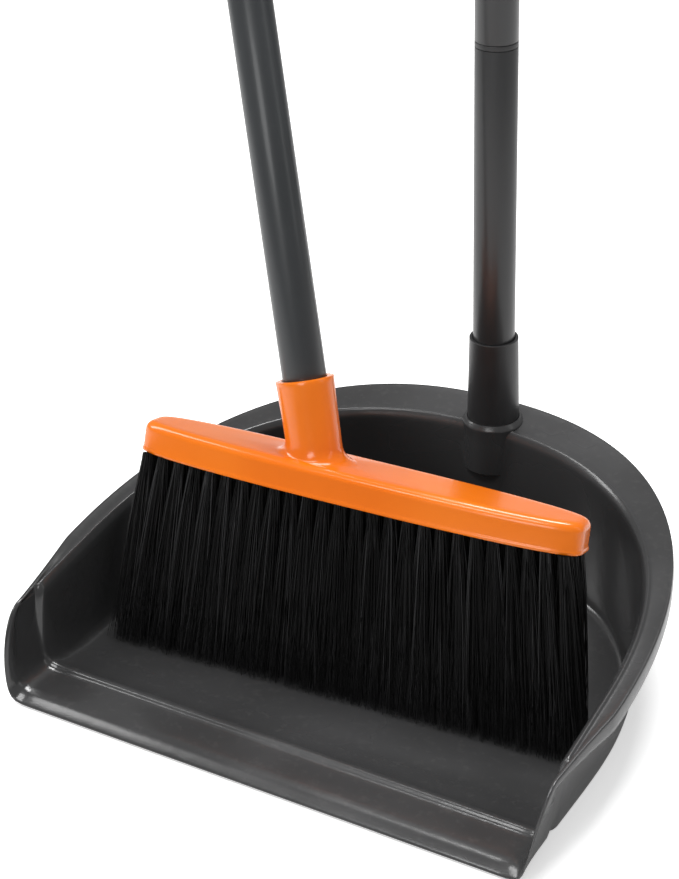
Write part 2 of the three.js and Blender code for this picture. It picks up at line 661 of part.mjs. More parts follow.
/** How far a row's tips reach along the head, to the right at side 1 and to the left at side -1. */
function tipReach(offset, side) {
  const fromFront = offset + ((TUFT_ROWS - 1) * TUFT_ROW_PITCH) / 2;
  const spread = side > 0 ? TUFT_SPREAD_RIGHT - TUFT_DRAW_IN * fromFront : TUFT_SPREAD_LEFT;
  const free = HEAD_LENGTH / 2 - TUFT_INSET + spread;
  const half = TUFT_ROW_THICKNESS / 2;
  return Math.min(free, wallReach(offset - half, free, side), wallReach(offset + half, free, side));
}

/**
 * One row of tufts as a fan-shaped slab from the base plate to the pan's floor. The head leans, so a
 * row at the back starts lower and is pressed shorter than one in front.
 */
function tuftRow(offset) {
  const [front, back] = [offset - TUFT_ROW_THICKNESS / 2, offset + TUFT_ROW_THICKNESS / 2];
  const root = HEAD_LENGTH / 2 - TUFT_INSET;
  const [left, right] = [tipReach(offset, -1), tipReach(offset, 1)];
  return lofted([
    [[-root, front, -GAP], [root, front, -GAP], [root, back, -GAP], [-root, back, -GAP]],
    [
      [-left, front, -floorDistance(front)],
      [right, front, -floorDistance(front)],
      [right, back, -floorDistance(back)],
      [-left, back, -floorDistance(back)],
    ],
  ].map((ring) => ring.map((corner) => new THREE.Vector3(...corner))));
}

function addBroom(root) {
  const broom = new THREE.Group();
  const lift = FLOOR + GAP + BRISTLE_LENGTH * Math.cos(radians(HEAD_LEAN));
  broom.position.set(HEAD_X, HEAD_Y, lift);
  broom.rotation.set(radians(-HEAD_LEAN), 0, radians(HEAD_YAW), 'ZYX');
  broom.add(part('broom_head', headCover(), orangePlastic));
  broom.add(part('broom_base_plate', basePlate(), darkPlastic));
  for (let i = 0; i < TUFT_ROWS; i += 1) {
    const offset = (i - (TUFT_ROWS - 1) / 2) * TUFT_ROW_PITCH;
    broom.add(part(`broom_tuft_row_${i + 1}`, tuftRow(offset), bristleFibre));
  }
  const stick = socketPlace();
  const foot = SOCKET_HEIGHT - TUBE_SEAT;
  const tip = part('broom_screw_tip', screwTip(), darkPlastic);
  tip.position.z = foot;
  stick.add(tip);
  addHandle(stick, 'broom', foot, BROOM_TUBES, BROOM_TUBE_LENGTH);
  broom.add(stick);
  root.add(broom);
}

function addDustpan(root) {
  root.add(part('pan_body', panBody(), panPlastic));
  const handle = handlePlace();
  const socket = part('pan_sleeve', sleeve(), darkPlastic);
  socket.position.z = -SLEEVE_SPIGOT;
  handle.add(socket);
  const plug = part('pan_foot_plug', footPlug(), darkPlastic);
  plug.position.z = TUBE_FOOT;
  handle.add(plug);
  addHandle(handle, 'pan', TUBE_FOOT, PAN_TUBES, PAN_TUBE_LENGTH);
  const holder = part('pan_clip', clip(), orangePlastic);
  holder.position.z = CLIP_PLACE;
  handle.add(holder);
  root.add(handle);
}

function dustPanSet() {
  const root = new THREE.Group();
  addDustpan(root);
  addBroom(root);
  return root;
}

export default dustPanSet();
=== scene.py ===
"""Looks for a dust pan and brush set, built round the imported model. Metres, +Z up, +Y to the back."""

import logging
import math
from dataclasses import dataclass, field
from enum import Enum
from typing import Callable, Sequence

import bmesh
import bpy
from mathutils import Matrix, Vector


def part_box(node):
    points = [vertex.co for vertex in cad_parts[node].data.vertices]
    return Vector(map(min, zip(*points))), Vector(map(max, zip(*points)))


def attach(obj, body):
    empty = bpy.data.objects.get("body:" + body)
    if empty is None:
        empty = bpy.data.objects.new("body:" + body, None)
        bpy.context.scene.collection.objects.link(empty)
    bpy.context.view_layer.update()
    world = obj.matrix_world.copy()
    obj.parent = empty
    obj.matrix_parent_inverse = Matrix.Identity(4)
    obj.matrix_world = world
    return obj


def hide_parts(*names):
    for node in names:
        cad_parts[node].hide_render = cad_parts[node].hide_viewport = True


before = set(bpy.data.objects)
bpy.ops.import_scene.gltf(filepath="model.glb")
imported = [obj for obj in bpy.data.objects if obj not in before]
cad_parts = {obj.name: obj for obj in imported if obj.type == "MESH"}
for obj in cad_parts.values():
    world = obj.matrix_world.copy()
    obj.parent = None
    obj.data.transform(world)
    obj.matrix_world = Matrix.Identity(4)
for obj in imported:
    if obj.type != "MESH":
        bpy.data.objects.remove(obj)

LOG = logging.getLogger("dust_pan_set")
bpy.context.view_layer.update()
MM = 0.001
GRAIN_HEIGHT = 0.6 * MM
DUST_COLOUR = (0.42, 0.41, 0.39, 1)
Ring = list[Vector]
Lip = tuple[float, float, float, float]


# ---- Shader building blocks ------------------------------------------------------------------


class Kind(Enum):
    """Socket types used by the node groups."""

    NUMBER = "NodeSocketFloat"
    COLOUR = "NodeSocketColor"
    VECTOR = "NodeSocketVector"


class Nodes:
    """A small wrapper that adds and links nodes in a tree, laid out in rows."""

    row_length = 12
    column_width = 180
    row_height = 220

    def __init__(self, tree: bpy.types.NodeTree) -> None:
        """Keeps the tree.

        Args:
            tree: The node tree to work in.
        """
        self.tree = tree
        self.count = 0

    def add(self, kind: str, **settings: object) -> bpy.types.Node:
        """Adds a node.

        Args:
            kind: The node's type name.
            **settings: Properties set on the node.

        Returns:
            The new node.
        """
        node = self.tree.nodes.new(kind)
        down, along = divmod(self.count, self.row_length)
        node.location = (self.column_width * along, -self.row_height * down)
        self.count += 1
        for key, value in settings.items():
            setattr(node, key, value)
        return node

    def join(self, source: bpy.types.NodeSocket, target: bpy.types.NodeSocket) -> None:
        """Links one socket to another."""
        self.tree.links.new(source, target)

    def math(self, operation: str, first: object, second: object = None) -> bpy.types.NodeSocket:
        """Adds a Math node.

        Args:
            operation: The node's operation.
            first: A socket or a number.
            second: A socket or a number, if the operation takes two.

        Returns:
            The node's output.
        """
        node = self.add("ShaderNodeMath", operation=operation)
        for place, value in enumerate((first, second)):
            self.feed(value, node.inputs[place])
        return node.outputs[0]

    def feed(self, value: object, target: bpy.types.NodeSocket) -> None:
        """Links a socket to the target, or sets a plain value on it.

        Args:
            value: A socket, a number, or None to leave the target alone.
            target: The socket that is fed.
        """
        if value is None:
            return
        if isinstance(value, bpy.types.NodeSocket):
            self.join(value, target)
        else:
            target.default_value = value


class Effects:
    """Node groups that several finishes share, each built once."""

    def __init__(self) -> None:
        """Builds the three groups."""
        self.grain = self._grain()
        self.mottle = self._mottle()
        self.dust = self._dust()

    @staticmethod
    def _group(name: str, inputs: Sequence[tuple], outputs: Sequence[tuple]) -> tuple[Nodes, object, object]:
        """Starts a group.

        Args:
            name: The group's name.
            inputs: Name, Kind and default value of each input.
            outputs: Name and Kind of each output.

        Returns:
            The node helper, the group's input node and its output node.
        """
        tree = bpy.data.node_groups.new(name, "ShaderNodeTree")
        for label, kind, value in inputs:
            socket = tree.interface.new_socket(name=label, in_out="INPUT", socket_type=kind.value)
            socket.default_value = value
        for label, kind in outputs:
            tree.interface.new_socket(name=label, in_out="OUTPUT", socket_type=kind.value)
        nodes = Nodes(tree)
        return nodes, nodes.add("NodeGroupInput"), nodes.add("NodeGroupOutput")

    def _grain(self) -> bpy.types.NodeTree:
        """Fine surface grain.

        Returns:
            A group that puts out a height.
        """
        nodes, given, made = self._group(
            "mould_grain",
            [
                ("Place", Kind.VECTOR, (0, 0, 0)),
                ("Scale", Kind.NUMBER, 900.0),
                ("Orange Peel", Kind.NUMBER, 0.5),
            ],
            [("Height", Kind.NUMBER)],
        )
        fine = nodes.add("ShaderNodeTexNoise")
        fine.inputs["Detail"].default_value = 2.0
        nodes.join(given.outputs["Place"], fine.inputs["Vector"])
        nodes.join(given.outputs["Scale"], fine.inputs["Scale"])
        broad = nodes.add("ShaderNodeTexNoise")
        broad.inputs["Detail"].default_value = 1.0
        nodes.join(given.outputs["Place"], broad.inputs["Vector"])
        nodes.join(nodes.math("MULTIPLY", given.outputs["Scale"], 0.09), broad.inputs["Scale"])
        peel = nodes.math("MULTIPLY", broad.outputs["Fac"], given.outputs["Orange Peel"])
        nodes.join(nodes.math("ADD", fine.outputs["Fac"], peel), made.inputs["Height"])
        return nodes.tree

    def _mottle(self) -> bpy.types.NodeTree:
        """Slow variation of colour and gloss, as moulded pigment shows.

        Returns:
            A group that puts out a colour and a roughness.
        """
        nodes, given, made = self._group(
            "pigment_mottle",
            [
                ("Place", Kind.VECTOR, (0, 0, 0)),
                ("Scale", Kind.NUMBER, 18.0),
                ("Dark", Kind.COLOUR, (0, 0, 0, 1)),
                ("Light", Kind.COLOUR, (1, 1, 1, 1)),
                ("Roughness", Kind.NUMBER, 0.3),
                ("Spread", Kind.NUMBER, 0.06),
            ],
            [("Colour", Kind.COLOUR), ("Roughness", Kind.NUMBER)],
        )
        noise = nodes.add("ShaderNodeTexNoise")
        noise.inputs["Detail"].default_value = 4.0
        noise.inputs["Distortion"].default_value = 0.4
        nodes.join(given.outputs["Place"], noise.inputs["Vector"])
        nodes.join(given.outputs["Scale"], noise.inputs["Scale"])
        ramp = nodes.add("ShaderNodeMapRange", interpolation_type="SMOOTHSTEP")
        ramp.inputs["From Min"].default_value = 0.3
        ramp.inputs["From Max"].default_value = 0.7
        nodes.join(noise.outputs["Fac"], ramp.inputs["Value"])
        colour = nodes.add("ShaderNodeMix", data_type="RGBA")
        nodes.join(ramp.outputs["Result"], colour.inputs["Factor"])
        nodes.join(given.outputs["Dark"], colour.inputs[6])
        nodes.join(given.outputs["Light"], colour.inputs[7])
        nodes.join(colour.outputs[2], made.inputs["Colour"])
        centred = nodes.math("SUBTRACT", ramp.outputs["Result"], 0.5)
        swing = nodes.math("MULTIPLY", centred, given.outputs["Spread"])
        nodes.join(nodes.math("ADD", swing, given.outputs["Roughness"]), made.inputs["Roughness"])
        return nodes.tree

    def _dust(self) -> bpy.types.NodeTree:
        """Specks of dust on faces that look up.

        Returns:
            A group that puts out a colour with the dust on it.
        """
        nodes, given, made = self._group(
            "settled_dust",
            [
                ("Place", Kind.VECTOR, (0, 0, 0)),
                ("Colour", Kind.COLOUR, (0, 0, 0, 1)),
                ("Amount", Kind.NUMBER, 0.05),
            ],
            [("Colour", Kind.COLOUR)],
        )
        face = nodes.add("ShaderNodeNewGeometry")
        parts = nodes.add("ShaderNodeSeparateXYZ")
        nodes.join(face.outputs["Normal"], parts.inputs[0])
        up = nodes.math("MAXIMUM", parts.outputs["Z"], 0.0)
        noise = nodes.add("ShaderNodeTexNoise")
        noise.inputs["Scale"].default_value = 260.0
        noise.inputs["Detail"].default_value = 5.0
        nodes.join(given.outputs["Place"], noise.inputs["Vector"])
        specks = nodes.add("ShaderNodeMapRange")
        specks.inputs["From Min"].default_value = 0.55
        specks.inputs["From Max"].default_value = 0.8
        nodes.join(noise.outputs["Fac"], specks.inputs["Value"])
        lying = nodes.math("MULTIPLY", specks.outputs["Result"], up)
        share = nodes.math("MULTIPLY", lying, given.outputs["Amount"])
        mixed = nodes.add("ShaderNodeMix", data_type="RGBA")
        nodes.join(share, mixed.inputs["Factor"])
        nodes.join(given.outputs["Colour"], mixed.inputs[6])
        mixed.inputs[7].default_value = DUST_COLOUR
        nodes.join(mixed.outputs[2], made.inputs["Colour"])
        return nodes.tree


# ---- Finishes --------------------------------------------------------------------------------


@dataclass(frozen=True)
class Moulded:
    """Injection-moulded plastic or a coating: pigment mottle, grain and a little dust."""

    name: str
    dark: tuple[float, float, float]
    light: tuple[float, float, float]
    roughness: float = 0.3
    spread: float = 0.08
    mottle_scale: float = 14.0
    grain_scale: float = 1500.0
    peel: float = 0.8
    bump: float = 0.05
    dust: float = 0.04
    coat: float = 0.0
    coat_roughness: float = 0.1
    ior: float = 1.48
    sheen: float = 0.0
    stretch: tuple[float, float, float] = (1.0, 1.0, 1.0)

    def build(self, effects: Effects) -> bpy.types.Material:
        """Makes the material.

        Args:
            effects: The shared node groups.

        Returns:
            The material.
        """
        material = bpy.data.materials.new(self.name)
        material.use_nodes = True
        nodes = Nodes(material.node_tree)
        shader = material.node_tree.nodes["Principled BSDF"]
        place = nodes.add("ShaderNodeTexCoord")
        mapping = nodes.add("ShaderNodeMapping")
        mapping.inputs["Scale"].default_value = self.stretch
        nodes.join(place.outputs["Object"], mapping.inputs["Vector"])
        mottle = nodes.add("ShaderNodeGroup", node_tree=effects.mottle)
        nodes.join(mapping.outputs["Vector"], mottle.inputs["Place"])
        mottle.inputs["Scale"].default_value = self.mottle_scale
        mottle.inputs["Dark"].default_value = (*self.dark, 1)
        mottle.inputs["Light"].default_value = (*self.light, 1)
        mottle.inputs["Roughness"].default_value = self.roughness
        mottle.inputs["Spread"].default_value = self.spread
        dust = nodes.add("ShaderNodeGroup", node_tree=effects.dust)
        nodes.join(place.outputs["Object"], dust.inputs["Place"])
        nodes.join(mottle.outputs["Colour"], dust.inputs["Colour"])
        dust.inputs["Amount"].default_value = self.dust
        nodes.join(dust.outputs["Colour"], shader.inputs["Base Color"])
        nodes.join(mottle.outputs["Roughness"], shader.inputs["Roughness"])
        grain = nodes.add("ShaderNodeGroup", node_tree=effects.grain)
        nodes.join(place.outputs["Object"], grain.inputs["Place"])
        grain.inputs["Scale"].default_value = self.grain_scale
        grain.inputs["Orange Peel"].default_value = self.peel
        bump = nodes.add("ShaderNodeBump")
        bump.inputs["Strength"].default_value = self.bump
        bump.inputs["Distance"].default_value = GRAIN_HEIGHT
        nodes.join(grain.outputs["Height"], bump.inputs["Height"])
        nodes.join(bump.outputs["Normal"], shader.inputs["Normal"])
        shader.inputs["IOR"].default_value = self.ior
        shader.inputs["Coat Weight"].default_value = self.coat
        shader.inputs["Coat Roughness"].default_value = self.coat_roughness
        shader.inputs["Sheen Weight"].default_value = self.sheen
        return material


@dataclass(frozen=True)
class Fibre:
    """Synthetic bristle: each strand has its own shade, and its soft tip is paler."""

    name: str
    dark: tuple[float, float, float] = (0.0009, 0.0009, 0.001)
    light: tuple[float, float, float] = (0.05, 0.05, 0.052)
    tip: tuple[float, float, float] = (0.012, 0.012, 0.013)
    roughness: float = 0.32
    rough_swing: float = 0.12
    grain_scale: float = 2400.0
    ior: float = 1.36
    shade_start: float = 0.62
    shade_power: float = 2.2
    tip_power: float = 9.0
    tip_share: float = 0.45

    def build(self, effects: Effects) -> bpy.types.Material:
        """Makes the material from the strand and along attributes.

        Args:
            effects: The shared node groups.

        Returns:
            The material.
        """
        material = bpy.data.materials.new(self.name)
        material.use_nodes = True
        nodes = Nodes(material.node_tree)
        shader = material.node_tree.nodes["Principled BSDF"]
        strand = nodes.add("ShaderNodeAttribute", attribute_name="strand")
        along = nodes.add("ShaderNodeAttribute", attribute_name="along")
        shade = nodes.add("ShaderNodeMapRange")
        shade.inputs["From Min"].default_value = self.shade_start
        nodes.join(strand.outputs["Fac"], shade.inputs["Value"])
        body = nodes.add("ShaderNodeMix", data_type="RGBA")
        nodes.join(nodes.math("POWER", shade.outputs["Result"], self.shade_power), body.inputs["Factor"])
        body.inputs[6].default_value = (*self.dark, 1)
        body.inputs[7].default_value = (*self.light, 1)
        ended = nodes.add("ShaderNodeMix", data_type="RGBA")
        share = nodes.math("POWER", along.outputs["Fac"], self.tip_power)
        nodes.join(nodes.math("MULTIPLY", share, self.tip_share), ended.inputs["Factor"])
        nodes.join(body.outputs[2], ended.inputs[6])
        ended.inputs[7].default_value = (*self.tip, 1)
        nodes.join(ended.outputs[2], shader.inputs["Base Color"])
        place = nodes.add("ShaderNodeTexCoord")
        grain = nodes.add("ShaderNodeGroup", node_tree=effects.grain)
        nodes.join(place.outputs["Object"], grain.inputs["Place"])
        grain.inputs["Scale"].default_value = self.grain_scale
        rough = nodes.math("MULTIPLY", grain.outputs["Height"], self.rough_swing)
        nodes.join(nodes.math("ADD", rough, self.roughness), shader.inputs["Roughness"])
        shader.inputs["IOR"].default_value = self.ior
        return material


@dataclass
class Palette:
    """Every finish of the set, built once."""

    effects: Effects
    pan: bpy.types.Material = field(init=False)
    dark: bpy.types.Material = field(init=False)
    foam: bpy.types.Material = field(init=False)
    pan_tube: bpy.types.Material = field(init=False)
    broom_tube: bpy.types.Material = field(init=False)
    orange: bpy.types.Material = field(init=False)
    bristle: bpy.types.Material = field(init=False)

    def __post_init__(self) -> None:
        """Builds the materials."""
        make = self.effects
        self.pan = Moulded(
            "pan_grey_plastic", (0.031, 0.031, 0.0315), (0.041, 0.041, 0.042), roughness=0.22, spread=0.12,
            mottle_scale=9.0, peel=2.2, bump=0.08, dust=0.03, coat=0.2, coat_roughness=0.07,
        ).build(make)
        self.dark = Moulded(
            "dark_plastic", (0.018, 0.018, 0.019), (0.026, 0.026, 0.027), roughness=0.36, bump=0.1, dust=0.05,
        ).build(make)
        self.foam = Moulded(
            "grip_foam", (0.02, 0.021, 0.022), (0.034, 0.035, 0.037), roughness=0.8, spread=0.15,
            mottle_scale=60.0, grain_scale=700.0, peel=0.2, bump=0.6, dust=0.08, sheen=0.2,
        ).build(make)
        self.pan_tube = Moulded(
            "pan_tube_film", (0.024, 0.0244, 0.0252), (0.031, 0.0317, 0.033), roughness=0.34, spread=0.06,
            mottle_scale=20.0, stretch=(1, 1, 0.12), bump=0.03, dust=0.02, coat=0.12, coat_roughness=0.12,
        ).build(make)
        self.broom_tube = Moulded(
            "broom_tube_film", (0.026, 0.0285, 0.0305), (0.034, 0.037, 0.0395), roughness=0.34, spread=0.06,
            mottle_scale=20.0, stretch=(1, 1, 0.12), bump=0.03, dust=0.02, coat=0.12, coat_roughness=0.12,
        ).build(make)
        self.orange = Moulded(
            "orange_plastic", (0.75, 0.146, 0.001), (0.82, 0.18, 0.003), roughness=0.22, spread=0.08,
            mottle_scale=11.0, peel=1.4, bump=0.05, dust=0.01, coat=0.25, coat_roughness=0.04,
        ).build(make)
        self.bristle = Fibre("black_bristle").build(make)


# ---- Mesh building blocks --------------------------------------------------------------------


def mix(a: float, b: float, share: float) -> float:
    """A number between a and b."""
    return a + (b - a) * share


def clamp(value: float) -> float:
    """The value kept between 0 and 1."""
    return min(max(value, 0.0), 1.0)


def mesh_object(name: str, mesh: bpy.types.Mesh) -> bpy.types.Object:
    """Adds a mesh to the scene as an object at the origin.

    Args:
        name: The object's name.
        mesh: Its mesh.

    Returns:
        The object.
    """
    made = bpy.data.objects.new(name, mesh)
    bpy.context.scene.collection.objects.link(made)
    return made


def loft(name: str, rings: Sequence[Ring], closed: bool = False) -> bpy.types.Object:
    """Lofts closed rings of equally many points, in millimetres.

    Args:
        name: The object's name.
        rings: The rings in order.
        closed: True if the last ring joins the first, as round a tube's wall.

    Returns:
        The object, in metres, with its faces outwards.
    """
    work = bmesh.new()
    count = len(rings[0])
    made = [[work.verts.new(point * MM) for point in ring] for ring in rings]
    pairs = list(zip(made, made[1:]))
    if closed:
        pairs.append((made[-1], made[0]))
    for lower, upper in pairs:
        for i in range(count):
            j = (i + 1) % count
            work.faces.new((lower[i], lower[j], upper[j], upper[i]))
    if not closed:
        for ring in (made[0], made[-1]):
            centre = work.verts.new(sum((v.co for v in ring), Vector()) / count)
            for i in range(count):
                work.faces.new((ring[i], ring[(i + 1) % count], centre))
    bmesh.ops.recalc_face_normals(work, faces=work.faces)
    mesh = bpy.data.meshes.new(name)
    work.to_mesh(mesh)
    work.free()
    return mesh_object(name, mesh)


def turned(
    name: str, profile: Sequence[tuple[float, float]], place: Matrix, segments: int = 72,
    solid: bool = False,
) -> bpy.types.Object:
    """Turns a profile round Z and puts it in place.

    Args:
        name: The object's name.
        profile: Radius and height pairs in millimetres, off the axis.
        place: The piece's place, in metres.
        segments: Steps round the axis.
        solid: True if the two ends are closed with discs, false if the profile closes on itself.

    Returns:
        The object, with its place in its mesh.
    """
    rings = []
    for radius, height in profile:
        turns = [2 * math.pi * i / segments for i in range(segments)]
        rings.append([Vector((radius * math.cos(t), radius * math.sin(t), height)) for t in turns])
    made = loft(name, rings, closed=not solid)
    made.data.transform(place)
    return made


def rounded(
    corners: Sequence[tuple[float, float, float]], steps: int = 4,
) -> list[tuple[float, float]]:
    """Rounds a profile's corners.

    Args:
        corners: Radius, height and rounding of each corner; the first and last stay sharp.
        steps: Points on each rounding.

    Returns:
        The profile as radius and height pairs.
    """
    out: list[tuple[float, float]] = []
    count = len(corners)
    for i, (radius, height, rounding) in enumerate(corners):
        here = Vector((radius, height))
        if rounding <= 0:
            out.append((radius, height))
            continue
        before = Vector(corners[(i - 1) % count][:2]) - here
        after = Vector(corners[(i + 1) % count][:2]) - here
        reach = min(rounding, before.length * 0.49, after.length * 0.49)
        start, end = here + before.normalized() * reach, here + after.normalized() * reach
        for step in range(steps + 1):
            t = step / steps
            point = start * (1 - t) ** 2 + here * 2 * t * (1 - t) + end * t ** 2
            out.append((point.x, point.y))
    return out


def applied(piece: bpy.types.Object) -> bpy.types.Object:
    """Turns a piece's modifiers into plain mesh.

    Args:
        piece: The object.

    Returns:
        The same object.
    """
    seen = piece.evaluated_get(bpy.context.evaluated_depsgraph_get())
    mesh = bpy.data.meshes.new_from_object(seen)
    piece.modifiers.clear()
    piece.data = mesh
    return piece


def subdivided(piece: bpy.types.Object, levels: int) -> bpy.types.Object:
    """Smooths a piece with a subdivision surface and applies it.

    Args:
        piece: The object.
        levels: How many times each face is split.

    Returns:
        The same object.
    """
    smooth = piece.modifiers.new("smooth", "SUBSURF")
    smooth.levels = smooth.render_levels = levels
    return applied(piece)


def combined(piece: bpy.types.Object, other: bpy.types.Object, operation: str) -> bpy.types.Object:
    """Adds or cuts one solid with another, and removes the other.

    Args:
        piece: The solid that stays.
        other: The solid that is used up.
        operation: UNION or DIFFERENCE.

    Returns:
        The first solid.
    """
    cut = piece.modifiers.new("cut", "BOOLEAN")
    cut.operation, cut.object, cut.solver = operation, other, "EXACT"
    applied(piece)
    bpy.data.objects.remove(other, do_unlink=True)
    return piece


def finished(
    piece: bpy.types.Object, material: bpy.types.Material, body: str,
    nodes: Sequence[str], angle: float = 40.0,
) -> None:
    """Dresses a piece and hands it to the frame.

    Args:
        piece: The finished object.
        material: Its material.
        body: The body that it rides on.
        nodes: The CAD nodes that it stands for.
        angle: Edges sharper than this many degrees stay sharp.
    """
    piece.data.materials.clear()
    piece.data.materials.append(material)
    for face in piece.data.polygons:
        face.material_index = 0
    piece.data.shade_smooth()
    piece.data.set_sharp_from_angle(angle=math.radians(angle))
    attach(piece, body)
    if nodes:
        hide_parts(*nodes)
    LOG.info("%s: %d faces on %s", piece.name, len(piece.data.polygons), body)


# ---- Dust pan --------------------------------------------------------------------------------


@dataclass
class DustPan:
    """The pan's tub, flange and lip, lofted through rings, with the boss for its handle. Millimetres."""

    palette: Palette
    depth: float = 267
    half: float = 152.2
    nose_taper: float = 7.2
    belly: float = 71
    rim_power: float = 2.3
    flange_side: float = 11.7
    flange_nose: float = 3.6
    flange_back: float = 27
    rim_start: float = 44.9
    rim_slope: float = 0.137
    nose_depth: float = 20
    skirt_height: float = 10
    skirt_least: float = 0.25
    wall: float = 2.5
    floor: float = 2.5
    floor_fillet: float = 5
    foot_front: float = 40
    draft_side: float = 3.5
    draft_back: float = 6
    foot_power: float = 2.5
    lip_edge: float = 1.9
    lip_band: float = 7
    shelf_height: float = 5.4
    shelf: float = 20
    ridge_width: float = 3.5
    ridge_height: float = 1.6
    lip_under: float = 2.4
    lip_corner: float = 7
    boss_inset: float = 17
    boss_rise: float = 4.5
    boss_radius: float = 17.0
    bore_radius: float = 14.0
    bore_depth: float = 31.3
    steps_front: int = 14
    steps_nose: int = 14
    steps_side: int = 10
    steps_back: int = 30

    def __post_init__(self) -> None:
        """Works out the sizes that follow from the others."""
        self.nose_half = self.half - self.nose_taper
        self.foot_half = self.half - self.flange_side - self.draft_side
        self.foot_back = self.depth - self.flange_back - self.draft_back
        self.origin_y = (self.foot_front + self.foot_back) / 2

    def rim(self, y: float) -> float:
        """Height of the flange's outer edge at a distance behind the lip edge."""
        nose = clamp(y / self.nose_depth)
        return (self.rim_start + self.rim_slope * y) * math.sqrt(1 - (1 - nose) ** 2)

    def ring(
        self, lip: Lip, outline: tuple[float, float, float, float],
        height: Callable[[float], float],
    ) -> Ring:
        """One closed ring of the pan, from the middle of the front round by the right.

        Args:
            lip: Y, Z and half width of the ring along the lip, and the depth within which it turns up.
            outline: Half width at the front, half width, back and roundness along the wall.
            height: Height of the wall's part at a distance behind the lip edge.

        Returns:
            The ring's points in millimetres.
        """
        lip_y, lip_z, lip_half, rise = lip
        nose_half, half, back, power = outline
        right: list[Vector] = []
        for i in range(self.steps_front):
            right.append(Vector((lip_half * i / self.steps_front, lip_y, lip_z)))
        start = lip_y + rise
        top = height(start)

        def width(y: float) -> float:
            """Half width in front of the belly."""
            return mix(nose_half, half, clamp(y / self.belly) ** 1.5)

        for i in range(self.steps_nose):
            turn = math.pi / 2 * i / self.steps_nose
            y = lip_y + rise * (1 - math.cos(turn))
            x = mix(lip_half, width(start), math.sin(turn) ** 0.5)
            right.append(Vector((x, y, mix(lip_z, top, math.sin(turn)))))
        for i in range(self.steps_side):
            y = mix(start, self.belly, i / self.steps_side)
            right.append(Vector((width(y), y, height(y))))
        for i in range(self.steps_back + 1):
            turn = math.pi / 2 * i / self.steps_back
            x = half * math.cos(turn) ** (2 / power) if i < self.steps_back else 0.0
            y = self.belly + (back - self.belly) * math.sin(turn) ** (2 / power)
            right.append(Vector((x, y, height(y))))
        left = [Vector((-point.x, point.y, point.z)) for point in reversed(right[1:-1])]
        shift = Vector((0, self.origin_y, 0))
        return [point - shift for point in right + left]

    def wall_ring(self, share: float, out: float, lip: Lip, height: Callable[[float], float]) -> Ring:
        """A ring on the tub's wall.

        Args:
            share: How far up the wall it lies: 0 at the foot and 1 at the flange.
            out: Its distance outwards from the wall's inside.
            lip: Y, Z and half width of the ring along the lip, and the depth within which it turns up.
            height: Height of the ring at a distance behind the lip edge.

        Returns:
            The ring's points in millimetres.
        """
        outline = (
            mix(self.foot_half, self.nose_half - self.flange_nose, share) + out,
            mix(self.foot_half, self.half - self.flange_side, share) + out,
            mix(self.foot_back, self.depth - self.flange_back, share) + out,
            mix(self.foot_power, self.rim_power, share),
        )
        return self.ring(lip, outline, height)

    def flange_ring(self, inset: float, lip: Lip, height: Callable[[float], float]) -> Ring:
        """A ring on the flange or its skirt, set in from the outer edge."""
        outline = (self.nose_half - inset, self.half - inset, self.depth - inset, self.rim_power)
        return self.ring(lip, outline, height)

    def rings(self) -> list[Ring]:
        """All rings of the shell, from the floor's inside over the flange to the foot's underside.

        Returns:
            The rings in the order in which they are lofted.
        """
        shelf_end = self.lip_band + self.shelf
        crest = self.shelf_height + self.ridge_height
        ridge_end = shelf_end + self.ridge_width + 2
        lip_half = self.nose_half - self.lip_corner
        shelf_half = lip_half - 2
        inner = self.foot_half - self.wall
        rim, floor, foot = self.rim, self.floor, self.foot_front
        level, edge = self.shelf_height, self.lip_edge
        under = level - self.lip_under

        def wall_height(share: float) -> Callable[[float], float]:
            """Height of a ring part of the way up the wall."""
            return lambda y: max(mix(floor, rim(y), share), floor)

        def below(drop: float) -> Callable[[float], float]:
            """Height of a ring that runs under the flange's edge."""
            return lambda y: rim(y) - drop

        def skirt(y: float) -> float:
            """Height of the skirt's lower edge, which hangs less near the lip."""
            return rim(y) - self.skirt_height * min(max(y / self.belly, self.skirt_least), 1)

